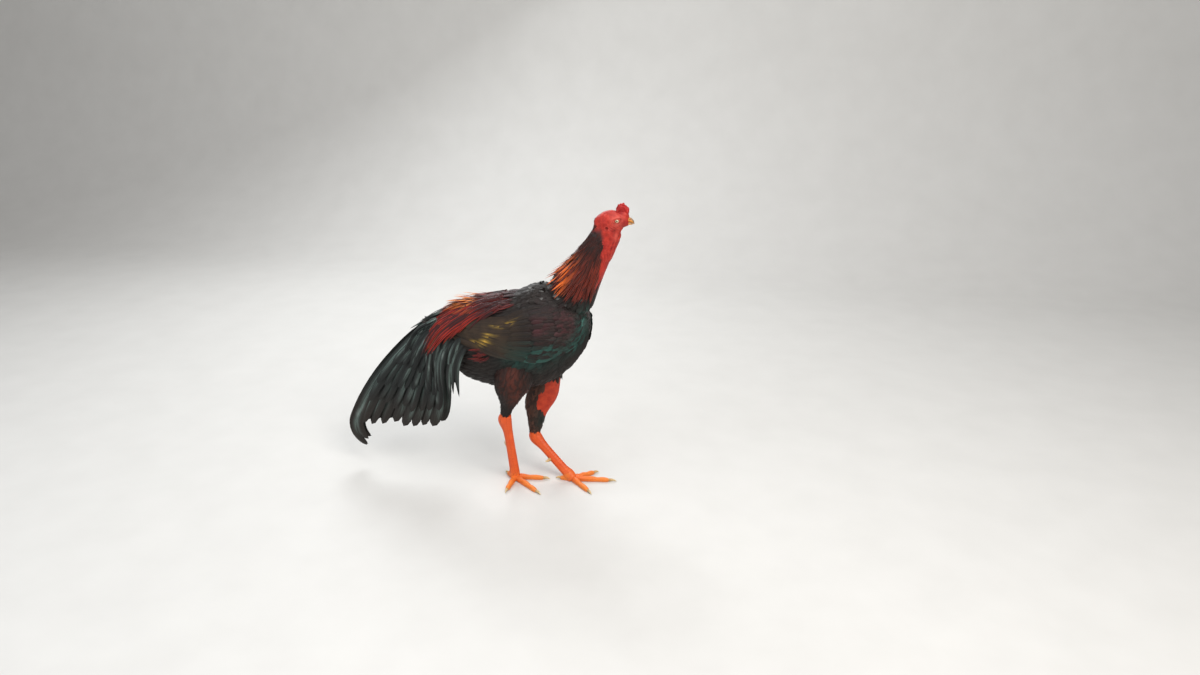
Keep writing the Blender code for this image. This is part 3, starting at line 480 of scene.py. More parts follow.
# Brow, wattle, ear lobe, cheek and the foot of the comb: centre, half the size
FACE_SWELLS = (
    ((0.3000, 0.0125, 0.6165), (0.0088, 0.0044, 0.0030)),
    ((0.3040, 0.0070, 0.5915), (0.0062, 0.0032, 0.0064)),
    ((0.2810, 0.0190, 0.5850), (0.0042, 0.0036, 0.0066)),
    ((0.2930, 0.0120, 0.5960), (0.0120, 0.0065, 0.0090)),
    ((0.3140, 0.0035, 0.6185), (0.0085, 0.0060, 0.0085)),
)
# Above this height the mesh is cut finer and smoothed again
HEAD_LEVEL, HEAD_CUTS, HEAD_SMOOTHING = 0.520, 3, 5
SKIN_VOXEL = 0.0029
FEATHERED_SKIN = (0.020, 0.010, 0.009)


def ripple(points, scale, seed=0.0):
    """Soft uneven values from about -1 to 1, the same on each run."""
    shifted = points * scale + seed
    return np.array([noise.noise(Vector(p)) for p in shifted])


def face_folds(points, outward):
    """How far the skin of the head stands out or in: lids, brow, ear, cheeks and throat."""
    p = points - SHIFT
    p[:, 1] = np.abs(p[:, 1])
    eye = p - EYE_CENTRE
    tilted = eye[:, 2] - 0.22 * eye[:, 0]
    ring = np.hypot(eye[:, 0] / 1.08, tilted / np.where(tilted > 0, 0.64, 0.76))
    beside = smoothstep(p[:, 1], 0.004, 0.010)
    brow = 0.0012 * bell(tilted - 0.0056, 0.0018) * bell(eye[:, 0] - 0.001, 0.0080)
    socket = SOCKET_DEPTH * (1 - smoothstep(ring, 0.0036, 0.0044))
    lids, groove, *folds = (height * bell(ring - out, width)
                            for out, width, height in (LID, LID_GROOVE, *LID_FOLDS))
    lift = beside * (lids + brow - socket - groove + sum(folds))
    ear = p - EAR_CENTRE
    hollow = np.hypot(ear[:, 0], ear[:, 2])
    near = smoothstep(p[:, 1], 0.010, 0.015)
    lift += near * (0.0009 * bell(hollow - 0.0042, 0.0011) - 0.0022 * bell(hollow, 0.0024))
    level = smoothstep(p[:, 2], 0.530, 0.590)
    pleats = np.sin(np.arctan2(p[:, 1], p[:, 0] - 0.262) * 22 + 6.0 * ripple(p, 45.0, 4.0))
    pleats = pleats * (0.55 + 0.45 * ripple(p, 80.0, 6.0)) + 0.5 * ripple(p, 170.0, 3.0)
    front = smoothstep(outward[:, 0] - 0.2 * outward[:, 2], -0.1, 0.5)
    throat = front * smoothstep(p[:, 2], 0.500, 0.530) * (1 - smoothstep(p[:, 2], 0.583, 0.600))
    lift += throat * 0.0008 * pleats
    lift += level * 0.0007 * ripple(p, 120.0, 7.0) + 0.0004 * ripple(p, 300.0, 2.0)
    cheek = bell(np.hypot(p[:, 0] - 0.292, p[:, 2] - 0.594), 0.010)
    creases = np.sin((p[:, 2] * 0.8 + p[:, 0] * 0.6) * 1500 + 2.5 * ripple(p, 110.0, 1.0))
    lift += beside * cheek * 0.0004 * creases
    return lift


def tube(name, form, rows, sides, lift=0.0):
    return grid_mesh(name, tube_points(form, np.linspace(0, 1, rows), sides, lift))


def hide():
    """The skin as one mesh, finer on the head and upper neck, where it shows."""
    meshes = [tube("breast", torso_form, 40, 40, -GROWTH), tube("neck", neck_form, 30, 32, -0.0020),
              tube("skull", skull_form, 30, 32), tube("throat", throat_form, 24, 32, -0.0004)]
    for side, way in SIDES.items():
        meshes.append(tube("thigh", thigh_forms[side], 24, 24, -0.0022))
        for centre, size in FACE_SWELLS:
            meshes.append(ball_mesh("swell", (centre[0], centre[1] * way, centre[2]), size))
    item = fuse("skin", meshes, SKIN_VOXEL)
    bm = bmesh.new()
    bm.from_mesh(item.data)
    edges = [e for e in bm.edges if min(v.co.z for v in e.verts) > HEAD_LEVEL]
    bmesh.ops.subdivide_edges(bm, edges=edges, cuts=HEAD_CUTS, use_grid_fill=True)
    upper = [v for v in bm.verts if v.co.z > HEAD_LEVEL - 0.004]
    for _ in range(HEAD_SMOOTHING):
        bmesh.ops.smooth_vert(bm, verts=upper, factor=0.5, use_axis_x=True, use_axis_y=True,
                              use_axis_z=True)
    bm.to_mesh(item.data)
    bm.free()
    points, outward = read_points(item.data)
    high = points[:, 2] > HEAD_LEVEL - 0.02
    folds = np.zeros(len(points))
    folds[high] = face_folds(points[high], outward[high])
    move_points(item.data, points + outward * folds[:, None])
    keep_values(item.data, "marks", skin_marks(points, folds))
    return item


def skin_marks(points, folds):
    """Where the skin is bare and red, where it is paler, in part as a painted highlight, and where it is
    darkest, which is painted shade.
    """
    p = points - SHIFT
    side = np.abs(p[:, 1])
    middle = np.interp(p[:, 2], (0.44, 0.49, 0.535, 0.572, 0.60), (0.205, 0.234, 0.254, 0.270, 0.262))
    head = smoothstep(p[:, 2], 0.578, 0.600)
    front = smoothstep(p[:, 0] - middle, -0.004, 0.008) * smoothstep(p[:, 2], 0.44, 0.48)
    knee = (p[:, 1] > 0.010) * (1 - smoothstep(p[:, 2], 0.285, 0.300)) * smoothstep(p[:, 0], 0.080, 0.090)
    hock = (p[:, 1] < 0) * (1 - smoothstep(p[:, 2], 0.215, 0.235))
    bare = np.maximum(np.maximum(head, front), np.maximum(knee, hock))
    nape = (1 - smoothstep(side, 0.0045, 0.0100)) * (1 - smoothstep(p[:, 0], 0.248, 0.257))
    bare = bare * (1 - 0.85 * nape * smoothstep(p[:, 2], 0.560, 0.580))
    eye = p[:, [0, 2]] - EYE_CENTRE[[0, 2]]
    pale = bell(np.hypot(eye[:, 0] / 1.3, eye[:, 1] / 1.7), 0.0078) * (side > 0.006)
    pale = pale + 0.8 * bell(np.hypot(p[:, 0] - 0.297, (p[:, 2] - 0.575) / 2.2), 0.0042)
    # Raised folds are made paler: a painted highlight
    pale = np.clip(pale + np.clip(folds * 380, 0, 0.5), 0, 1)
    # Darkest over the ear's hollow and in sunken folds: painted shade
    ear = p[:, [0, 2]] - EAR_CENTRE[[0, 2]]
    dark = 0.85 * bell(np.hypot(ear[:, 0], ear[:, 1] / 1.2), 0.0034) * (side > 0.012)
    dark = np.clip(np.maximum(dark, np.clip(-folds * 650, 0, 0.7)), 0, 1)
    return np.stack([bare, pale * bare, dark], axis=-1)


def shade(colour, share):
    return tuple(share * value for value in colour)


def bare_paint(name, deep, bright):
    """Bare skin: warty and mottled. Marks: bareness, pale places that are in part a painted highlight, and
    painted shade.
    """
    paint = Paint(name)
    bare, pale, dark = paint.attribute("marks")
    blotch = paint.speckle(75.0, 3.0)
    fine = paint.speckle(500.0, 3.0)
    wart = paint.cells(1150.0)
    height = paint.add("ShaderNodeSeparateXYZ", values={0: paint.place()}, out=2)
    colour = paint.layers(
        deep,
        (blotch.step(0.3, 0.7), bright),
        (fine.step(0.5, 0.8) * 0.35, tuple(1.35 * c + 0.02 for c in bright)),
        # Pale places, in part a painted highlight, and dark places of painted shade
        (pale * 0.5, (0.66, 0.130, 0.095)),
        (dark, shade(deep, 0.42)),
        # Darker between the warts: painted shade in the bump's hollows
        (wart.step(0.45, 0.85) * 0.30, shade(deep, 0.5)),
        ((1.0 - height.step(0.28, 0.34)) * 0.6 * blotch, (0.66, 0.085, 0.014)))
    colour = paint.layers(FEATHERED_SKIN, (bare, colour))
    bump = paint.relief((1.0 - wart) * 0.7 + fine * 0.6, 0.55, 0.0004)
    return paint.coat(Base_Color=colour, Roughness=0.48 + fine * 0.16 + dark * 0.1, Normal=bump,
                      Subsurface_Weight=0.10, Subsurface_Radius=(0.006, 0.0018, 0.0010),
                      Specular_IOR_Level=0.36)


skin = dress(hide(), bare_paint("bare_skin", (0.32, 0.008, 0.005), (0.48, 0.026, 0.012)), "bare_skin",
             "torso", "neck", "head", "thigh_left", "thigh_right")


# Plumage of the breast, belly, back and flanks: short, round-ended feathers of about 25 mm that
# lie back over one another like shingles, and stand up between the shoulders as a cape. Each is a
# thin cambered blade that grows from the skin.
BODY_SEED, BODY_SPACING = 5, 0.0085
# The round front of the breast: how many feathers, x of their roots, height of its middle, radii
FRONT_MANY, FRONT_X, FRONT_HEIGHT, FRONT_RADII = 130, 0.2320, 0.388, (0.027, 0.031)
# Cape: how far apart its feathers grow, and how far they stand up
CAPE_SEED, CAPE_SPACING, CAPE_STAND = 6, 0.0078, 0.45
# Side of a feather's patch on the unwrap of the skin
PATCH_SIZE = 0.003
# How far roots stray from their places in a row, as a share of the spacing
STRAY = 0.16
# TEAL_SHEEN is the feathers' green gloss, laid into their colour as a painted sheen
MAROON, TEAL_SHEEN = (0.070, 0.019, 0.023), (0.036, 0.112, 0.094)
# Places where maroon and the painted teal sheen show: the two ends of a line, how far it reaches from it, how
# strong it is
MAROON_LINES = (((0.205, 0.075, 0.398), (0.145, 0.082, 0.388), 0.032, 1.0),
                ((0.120, 0.060, 0.430), (0.020, 0.050, 0.420), 0.030, 0.35))
TEAL_SHEEN_LINES = (((0.243, 0.035, 0.402), (0.212, 0.060, 0.345), 0.022, 1.0),
              ((0.168, 0.080, 0.334), (0.100, 0.080, 0.312), 0.031, 1.0))


class Plumage:
    """Feathers of one coat piece, gathered as arrays and then made into one joined mesh."""

    def __init__(self, name, seed, marks, columns=5):
        self.name, self.marks = name, marks
        self.chance = np.random.default_rng(seed)
        self.across = np.linspace(-1.0, 1.0, columns)
        self.verts, self.quads, self.tris, self.total = [], [], [], 0
        self.values = {"grain": [], "marks": [], "bake": []}

    def grow(self, path, face, width, camber, patch, marks=None):
        """path and face: feathers x rows x 3; width: feathers x rows, with nothing at the tip.

        The marks are three values by place, share along, place across and one random value a
        feather. patch holds the two places of each root on the unwrap of the skin.
        """
        many, rows = path.shape[:2]
        seeds = self.chance.random(many)
        ahead = unit(np.gradient(path, axis=1))
        across = unit(np.cross(face, ahead))
        over = np.cross(ahead, across)
        cols = self.across
        half = (width / 2)[..., None]
        height = -camber * half * np.abs(cols) ** 1.6 + 0.05 * half * (np.abs(cols) < 0.1)
        points = (path[:, :, None] + across[:, :, None] * (half * cols)[..., None]
                  + over[:, :, None] * height[..., None])
        grid = np.broadcast_arrays(shares(rows)[..., None], cols, seeds[:, None, None])
        found = {"grain": np.stack(grid, axis=-1),
                 "marks": (marks or self.marks)(points, *grid),
                 "bake": np.stack([patch[0][:, None, None] + PATCH_SIZE * grid[1] / 2,
                                   patch[1][:, None, None] + PATCH_SIZE * (grid[0] - 0.5)], axis=-1)}

        n, c = rows - 1, len(cols)
        per = n * c + 1
        self.verts.append(self.blades(points))
        for name, values in found.items():
            self.values[name].append(self.blades(values))
        i, k = np.meshgrid(np.arange(n - 1), np.arange(c - 1), indexing="ij")
        a = (i * c + k).ravel()
        quads = np.stack([a, a + 1, a + 1 + c, a + c], axis=1)
        b = (n - 1) * c + np.arange(c - 1)
        tris = np.stack([b, b + 1, np.full(c - 1, per - 1)], axis=1)
        starts = self.total + per * np.arange(many)[:, None, None]
        self.quads.append((quads[None] + starts).reshape(-1, 4))
        self.tris.append((tris[None] + starts).reshape(-1, 3))
        self.total += many * per

    def blades(self, values):
        """The values of all rows but the last, and then those of the one point at the tip."""
        size = values.shape[-1]
        body = values[:, :-1].reshape(len(values), -1, size)
        tips = values[:, -1, len(self.across) // 2][:, None]
        return np.concatenate([body, tips], axis=1).reshape(-1, size)

    def finish(self, paint, slot, *nodes):
        """One mesh of all the feathers, with what its paint reads, set on the bird."""
        verts, quads, tris = (np.concatenate(part) for part in (self.verts, self.quads, self.tris))
        grain, marks, bake = (np.concatenate(part) for part in self.values.values())
        mesh = bpy.data.meshes.new(self.name)
        mesh.vertices.add(len(verts))
        mesh.vertices.foreach_set("co", verts.astype(np.float32).ravel())
        corners = np.concatenate([quads.ravel(), tris.ravel()]).astype(np.int32)
        mesh.loops.add(len(corners))
        mesh.loops.foreach_set("vertex_index", corners)
        starts = np.concatenate([np.arange(len(quads)) * 4, len(quads) * 4 + np.arange(len(tris)) * 3])
        mesh.polygons.add(len(starts))
        mesh.polygons.foreach_set("loop_start", starts.astype(np.int32))
        mesh.polygons.foreach_set("use_smooth", np.ones(len(starts), bool))
        mesh.update(calc_edges=True)
        keep_values(mesh, "grain", grain)
        keep_values(mesh, "marks", marks)
        spread_out = mesh.uv_layers.new(name="OFBake")
        spread_out.data.foreach_set("uv", bake[corners].astype(np.float32).ravel())
        mesh.validate()
        return dress(link(self.name, mesh), paint, slot, *nodes)


def shares(rows):
    """Even shares from root to tip, in one row for any number of feathers."""
    return np.linspace(0.0, 1.0, rows)[None, :]


def round_end(width, rows, fullness=6.0):
    """Widths of round-ended feathers: half as wide at the root, full from a third on."""
    t = shares(rows)
    shape = np.minimum(1.0, 0.5 + 1.5 * t) * np.sqrt(np.maximum(0.0, 1 - t ** fullness))
    return np.asarray(width)[:, None] * shape


def long_taper(width, rows, point=1.8):
    """Widths of pointed feathers: full near the root, then a long taper."""
    t = shares(rows)
    shape = (0.5 + 0.5 * np.sin(np.minimum(1.0, 3.0 * t) * math.pi / 2)) * (1 - t ** point) ** 0.75
    return np.asarray(width)[:, None] * shape


def settled(depth, proud, rows):
    """Lifts of feathers that rise out of the skin and end a little proud of those below."""
    t = shares(rows)
    return -depth * (1 - t) ** 1.2 + proud[:, None] * t ** 1.5


def within_turn(angle):
    """Angles brought between half a turn back and half a turn on."""
    return (angle + math.pi) % (2 * math.pi) - math.pi


def rows_over(form, spacing, first, last, chance):
    """Staggered rows of roots all round a form, an even distance apart, between two shares."""
    found = []
    step = spacing / form.length
    for row, s in enumerate(np.arange(first, last, step)):
        around = form.around(s)
        a = np.arange(-math.pi, math.pi, spacing / around) + (row % 2) * 0.5 * spacing / around
        a = a + chance.normal(0.0, STRAY, len(a)) * spacing / around
        found.append((s + chance.normal(0.0, STRAY, len(a)) * step, a))
    return [np.concatenate(values) for values in zip(*found)]


def along_form(form, s, angle, length, slant, rows, forward=-1.0):
    """Shares and angles of paths that lie along a form: slant turns them down round it."""
    length, slant, t = np.asarray(length)[:, None], np.asarray(slant)[:, None], shares(rows)
    ahead = s[:, None] + forward * t * length * np.cos(slant) / form.length
    turn = t * length * np.sin(slant) / form.around(s)[:, None]
    return ahead, angle[:, None] + np.sign(np.sin(angle))[:, None] * turn


def draped(form, s, angle, length, slant, lifts, forward=-1.0):
    """Paths that lie along a form from their roots, and the ways in which they face."""
    return form.surface(*along_form(form, s, angle, length, slant, lifts.shape[1], forward), lifts)


def hung(root, start, hang, length, bend, rows):
    """Paths that leave their roots one way and droop to another."""
    keep = (1 - shares(rows)[..., None]) ** bend
    way = unit(unit(start)[:, None] * keep + unit(hang)[:, None] * (1 - keep))
    steps = way * (length / (rows - 1))[:, None, None]
    return root[:, None] + np.cumsum(steps, axis=1) - steps


def square_to(face, path):
    """Facing directions made square to their paths."""
    ahead = unit(np.gradient(path, axis=1))
    face = np.broadcast_to(face[:, None], path.shape)
    return unit(face - ahead * (face * ahead).sum(-1, keepdims=True))


def unwrap(s, angle, column=0.0, columns=1):
    """Root places on the unwrap of a form: along it and round it, in a strip of its own."""
    u = (column + 0.04 + 0.92 * np.clip(s, 0, 1)) / columns
    v = 0.02 + 0.96 * ((angle / (2 * math.pi) + 0.5) % 1.0)
    return u, v


def near_lines(points, lines):
    """How strongly lines of colour show at points: most on a line, and fading over its reach.

    It is the same on both sides of the bird.
    """
    p = points - SHIFT
    p[..., 1] = np.abs(p[..., 1])
    found = np.zeros(p.shape[:-1])
    for first, last, reach, strength in lines:
        a, way = np.array(first), np.array(last) - first
        t = np.clip(((p - a) @ way) / (way @ way), 0, 1)
        found = np.maximum(found, strength * bell(np.linalg.norm(p - a - t[..., None] * way, axis=-1), reach))
    return found


class VanePaint(Paint):
    """A material with what feathers share: their grain, patches, fine barbs and a shaft."""

    def __init__(self, name, pitch, slope, turn, shaft, patches):
        super().__init__(name)
        self.along, self.across, self.seed = self.attribute("grain")
        self.side = abs(self.across)
        self.barbs = ((self.along * pitch - self.side * slope + self.seed * turn).sine() + 1.0) * 0.5
        self.shaft = 1.0 - self.side.step(*shaft)
        self.patch = self.speckle(patches)


def dark_paint(name, tint=MAROON):
    """Black feathers: marks give a red or brown tint, a painted teal sheen and painted silver glints in turn.
    """
    paint = VanePaint(name, 150.0, 22.0, 40.0, (0.02, 0.10), 34.0)
    maroon, teal_sheen, glint = paint.attribute("marks")
    ground = paint.layers(
        (0.006, 0.0045, 0.004),
        (paint.patch, (0.019, 0.013, 0.010)),
        (maroon * (0.55 + paint.seed * 0.6), tint),
        # Painted teal sheen
        (teal_sheen * (0.4 + paint.seed * 0.7), TEAL_SHEEN),
        # Painted highlights: silver glints
        (glint, (0.26, 0.26, 0.25)),
        (paint.shaft * 0.35, (0.05, 0.045, 0.04)),
        (paint.barbs * 0.3, (0.004, 0.004, 0.005)))
    return paint.coat(Base_Color=ground, Roughness=0.46 - teal_sheen * 0.14 + paint.patch * 0.1 - maroon * 0.05,
                      Metallic=teal_sheen * 0.5 + maroon * 0.2, Specular_IOR_Level=0.22,
                      Normal=paint.relief(paint.barbs + paint.shaft * 1.5, 0.35, 0.0004))


def body_marks(points, along, across, seed):
    """Maroon and a painted teal sheen on the breast and the wing's front, and painted silver glints on the
    back.
    """
    p = points - SHIFT
    maroon = near_lines(points, MAROON_LINES)
    maroon = maroon * (0.25 + 0.75 * (np.sin(seed * 307.0) > -0.1) * smoothstep(along, 0.15, 0.7))
    maroon = maroon * (0.15 + 0.85 * smoothstep(p[..., 0], 0.118, 0.152))
    # Painted sheen: the feathers' green gloss, fixed in their colour along the given lines
    teal_sheen = near_lines(points, TEAL_SHEEN_LINES)
    teal_sheen = teal_sheen * smoothstep(np.sin(seed * 91.0) + 0.6 * along, -0.8, 0.4)
    # Painted highlights: silver glints on a few feather tips on top of the back
    back = smoothstep(p[..., 2], 0.418, 0.440) * smoothstep(p[..., 0], 0.07, 0.11)
    flash = (np.sin(seed * 613.0) > 0.80) * bell(along - 0.80, 0.13) * bell(across - 0.45, 0.45)
    glint = flash * back * 0.7 * (1 - smoothstep(p[..., 2], 0.475, 0.500))
    return np.stack([maroon, teal_sheen, glint], axis=-1)


def body_feathers():
    coat = Plumage("body_feathers", BODY_SEED, body_marks)
    chance, rows = coat.chance, 6
    s, a = rows_over(torso_form, BODY_SPACING, 0.03, 0.995, chance)
    # The top of the front lies inside the neck
    kept = (s < 0.93) | (np.cos(a) < math.cos(math.radians(50)))
    s, a = s[kept], within_turn(a[kept])
    many = len(s)
    down = np.abs(a) / math.pi
    breast = smoothstep(s, 0.62, 0.95)
    length = (0.024 + 0.008 * (1 - breast) + 0.004 * (1 - down)) * chance.uniform(0.85, 1.15, many)
    width = length * chance.uniform(0.48, 0.60, many)
    slant = np.radians(8 + 42 * breast * np.sin(np.pi * np.clip(down, 0, 1)) + 10 * down)
    slant = slant + chance.normal(0.0, 0.10, many)
    path, face = draped(torso_form, s, a, length, slant,
                        settled(GROWTH, chance.uniform(0.0005, 0.0034, many), rows))
    coat.grow(path, face, round_end(width, rows), 0.32, unwrap(s, a))

    # The front of the breast, where the rows above end
    many = FRONT_MANY
    turn, out = chance.uniform(0, 2 * math.pi, many), np.sqrt(chance.random(many))
    root = np.stack([np.full(many, FRONT_X), FRONT_RADII[0] * out * np.sin(turn),
                     FRONT_HEIGHT + FRONT_RADII[1] * out * np.cos(turn)], axis=-1) + SHIFT
    length = chance.uniform(0.020, 0.027, many)
    t = shares(rows)
    fall = np.stack([-0.28 - 0.3 * out, 0.25 * out * np.sin(turn), -np.ones(many)], axis=-1)
    path = root[:, None] + t[..., None] * length[:, None, None] * fall[:, None]
    path[..., 0] += (0.011 * np.sin(np.minimum(1.0, 1.8 * t) * math.pi / 2)
                     + 0.002 * (1 - out[:, None]))
    face = unit(np.stack([np.ones(many), 0.5 * np.sin(turn), 0.1 * np.ones(many)], axis=-1))
    coat.grow(path, np.repeat(face[:, None], rows, axis=1), round_end(length * 0.55, rows), 0.32,
              unwrap(0.97 + 0.03 * out, turn - math.pi))
    return coat.finish(black_finish, "black_plumage")


def cape_feathers():
    """Black feathers at the foot of the neck, under the hackles, raised between the shoulders."""
    coat = Plumage("cape_feathers", CAPE_SEED, body_marks)
    chance, rows = coat.chance, 7
    s, a = rows_over(neck_form, CAPE_SPACING, 0.02, 0.76, chance)
    front = smoothstep(np.abs(a), 1.9, 2.7)
    kept = (s < 0.76 - 0.20 * front) & (s > 0.26 * front)
    s, a = s[kept], a[kept]
    # Roots that would lie inside the torso are left out
    foot, _ = neck_form.surface(s, a, 0.0)
    bare = np.linalg.norm(torso_form.clear(foot[:, None], 0.0)[:, 0] - foot, axis=-1) <= 0.002
    s, a = s[bare], a[bare]
    many = len(s)
    length = np.interp(s, (0.0, 0.7), (0.036, 0.026)) * chance.uniform(0.85, 1.15, many)
    behind = (np.cos(a / 2) ** 2)[:, None]
    root, normal = neck_form.surface(s, a, -0.0022)
    below, _ = neck_form.surface(s - 0.02, a, -0.0022)
    start = unit(below - root)
    start = start + normal * behind * CAPE_STAND * chance.uniform(0.3, 1.1, many)[:, None]
    start = start + np.array([0.0, 0.12, 0.0]) * chance.normal(0, 1, many)[:, None]
    hang = start * (1.2 - behind) + np.array([-1.0, 0.0, -0.30]) * behind
    path = hung(root, start, hang, length, 1.3, rows)
    clear = torso_form.clear(path, 0.0012 + 0.0022 * chance.random(many)[:, None])
    path = path + (clear - path) * smoothstep(shares(rows), 0.0, 0.5)[..., None]
    coat.grow(path, square_to(normal, path), round_end(length * 0.46, rows, 4.0), 0.32,
              unwrap(0.75 + 0.2 * s, a))
    return coat.finish(black_finish, "black_plumage")


black_finish = dark_paint("black_feathers")
body_feathers()
cape_feathers()


# Neck hackles: long narrow pointed feathers that hang down the neck like a cape and stand off
# its back, dark red-brown with a black stripe down the middle and orange or red edges.
HACKLE_SEED = 8
# Rows low and high on the neck: how far apart, from which share to which
HACKLE_ROWS = ((0.0048, 0.55, 0.90), (0.0034, 0.90, 1.17))
# Along the neck, from the shoulders to the head: shares of it, and for each how far round from the
# nape in degrees the hackles grow, their length and width, and how far they stand off
HACKLE_STOPS = (0.55, 0.62, 0.70, 0.85, 0.93, 1.02, 1.09, 1.17)
HACKLE_REACH = (140.0, 136.0, 124.0, 112.0, 106.0, 92.0, 46.0, 24.0)
HACKLE_LENGTH = (0.066, 0.068, 0.064, 0.044, 0.026, 0.015, 0.010, 0.008)
HACKLE_WIDTH = (0.0070, 0.0068, 0.0060, 0.0048, 0.0038, 0.0030, 0.0026, 0.0024)
HACKLE_FLARE = (0.019, 0.018, 0.014, 0.008, 0.003, 0.001, 0.0004, 0.0003)


def pointed_paint(name, dark, middle, edge, bright):
    """Pointed feathers: a dark stripe, a coloured web and bright edges. Marks: edge, bright, dark."""
    paint = VanePaint(name, 190.0, 16.0, 37.0, (0.10, 0.62), 60.0)
    edging, brightness, darkness = paint.attribute("marks")
    rim = paint.side.step(0.35, 0.95)
    web = paint.layers(
        middle,
        (paint.patch.step(0.3, 0.7), shade(middle, 0.62)),
        (paint.shaft * (0.85 - paint.along * 0.35), dark),
        (rim * edging * (0.6 + paint.seed * 0.5), edge),
        (brightness * (0.65 + paint.seed * 0.45), bright),
        (darkness, dark),
        (paint.barbs * 0.15, shade(dark, 0.5)))
    return paint.coat(Base_Color=web, Roughness=0.44 + paint.patch * 0.12,
                      Metallic=brightness * 0.12, Specular_IOR_Level=0.25,
                      Normal=paint.relief(paint.barbs, 0.3, 0.0003))


def hackle_marks(points, along, across, seed):
    """Red edges low on the neck and at the throat, orange behind, darker up to the head."""
    p = points - SHIFT
    behind = smoothstep(0.236 + 0.45 * (p[..., 2] - 0.50) - p[..., 0], 0.014, 0.042)
    low = smoothstep(0.575 - p[..., 2], 0.02, 0.075)
    chosen = smoothstep(np.sin(seed * 57.0), -0.2, 0.5)
    bright = behind * low * chosen * smoothstep(along, 0.10, 0.55)
    front = smoothstep(p[..., 0] - (0.258 + 0.30 * (p[..., 2] - 0.50)), 0.0, 0.012)
    edging = np.clip(0.12 + 0.35 * low + front, 0, 1)
    dark = (1 - low) * 0.75 * (1 - front) + 0.50 * (np.sin(seed * 211.0) > 0.3) * (1 - behind)
    dark = dark * (1 - 0.4 * smoothstep(along, 0.5, 1.0))
    top = smoothstep(p[..., 2] + 0.35 * (p[..., 0] - 0.262), 0.572, 0.592)
    top = top * smoothstep(p[..., 0], 0.254, 0.266)
    bright = np.maximum(bright, 0.55 * top * smoothstep(np.sin(seed * 93.0), -0.6, 0.5))
    edging, dark = np.maximum(edging, top), dark * (1 - top)
    return np.stack([edging, bright, np.clip(dark, 0, 1)], axis=-1)


def rooted(path, depth):
    """The paths, moved so that each starts that deep in the skin nearest to it."""
    surface = BVHTree.FromPolygons([v.co for v in skin.data.vertices],
                                   [f.vertices for f in skin.data.polygons])
    moves = np.empty((len(path), 3))
    for i, root in enumerate(path[:, 0]):
        place, normal = surface.find_nearest(Vector(root))[:2]
        moves[i] = np.array(place - normal * depth) - root
    fading = 1 - 0.6 * np.linspace(0.0, 1.0, path.shape[1])
    return path + moves[:, None] * fading[None, :, None]


def neck_hackles():
    coat = Plumage("neck_hackles", HACKLE_SEED, hackle_marks)
    chance, rows = coat.chance, 9
    found = [rows_over(neck_form, *limits, chance) for limits in HACKLE_ROWS]
    s, a = (np.concatenate(pair) for pair in zip(*found))
    kept = np.abs(a) < np.radians(np.interp(s, HACKLE_STOPS, HACKLE_REACH))
    s, a = s[kept], a[kept]
    many = len(s)
    length = np.interp(s, HACKLE_STOPS, HACKLE_LENGTH) * chance.uniform(0.78, 1.12, many)
    length = length * np.interp(np.abs(np.degrees(a)), (0, 80, 105, 140), (0.90, 1.05, 0.95, 0.62))
    width = np.interp(s, HACKLE_STOPS, HACKLE_WIDTH) * chance.uniform(0.85, 1.15, many)
    flare = np.interp(s, HACKLE_STOPS, HACKLE_FLARE) * chance.uniform(0.35, 1.15, many)
    lean = chance.normal(0.0, 0.07, many)
    t = shares(rows)
    stand = (flare * (0.25 + 0.75 * np.cos(a / 2) ** 2))[:, None]
    climb = 0.0042 * np.clip(length / 0.050, 0.22, 1.0)[:, None]
    lifts = -0.0022 + climb * np.minimum(1.0, t * 5) + stand * t ** 1.5
    path, face = draped(neck_form, s, a, length, lean, lifts)
    path[:, 1:] = torso_form.clear(path[:, 1:], 0.0030 + 0.0015 * chance.random(many)[:, None])
    path[s > 0.84] = rooted(path[s > 0.84], 0.0010)
    coat.grow(path, face, long_taper(width, rows, 2.2), 0.30, unwrap(s, a))
    paint = pointed_paint("hackle_feathers", (0.018, 0.0055, 0.004), (0.130, 0.017, 0.009),
                          (0.44, 0.045, 0.014), (0.74, 0.142, 0.020))
    return coat.finish(paint, "red_plumage")


neck_hackles()


# Wings: folded on the flanks. Under small coverts lie longer ones in rows, then the flight
# feathers, brown with an olive-gold patch and a red spot where the inner ones show.
WING_SEEDS = {"left": 31, "right": 32}
WING_FRONT, WING_REAR = 0.87, 0.30
WING_SWELL = 0.0095
# How far the rows of coverts bow forward in the middle, as a share of the torso
ROW_BOW = 0.036
# Tier: first and last row of roots along the torso, rows, angles, how many in a row, length,
# width, slant to the rear in degrees, lift over the wing's core
WING_TIERS = (
    ("primary", (0.50, 0.50), 1, (80, 112), 9, 0.150, 0.0170, (-27, -14), 0.0006),
    ("secondary", (0.60, 0.56), 2, (63, 112), 12, 0.118, 0.0200, (-4, -20), 0.0022),
    ("greater", (0.66, 0.60), 2, (55, 112), 14, 0.058, 0.0160, (2, -12), 0.0036),
    ("median", (0.78, 0.66), 4, (52, 112), 16, 0.034, 0.0140, (8, -4), 0.0046),
    ("lesser", (0.90, 0.76), 7, (50, 110), 19, 0.022, 0.0115, (14, 4), 0.0054),
)


# Places of colour, as on the body: bright gold spots, the duller band between them, the red spot
SPOT_LINES = (((0.010, 0.074, 0.335), (0.015, 0.074, 0.342), 0.0105, 1.0),
              ((0.030, 0.076, 0.358), (0.038, 0.077, 0.366), 0.0095, 1.0))
BAND_LINES = (((0.000, 0.072, 0.334), (0.060, 0.078, 0.384), 0.015, 1.0),
              ((0.060, 0.078, 0.384), (0.108, 0.076, 0.408), 0.011, 1.0))
RED_LINES = (((-0.006, 0.070, 0.305), (0.010, 0.074, 0.313), 0.013, 1.0),)
# How strong the gold is on the left, which the photo doesn't show
LEFT_GOLD = 0.6


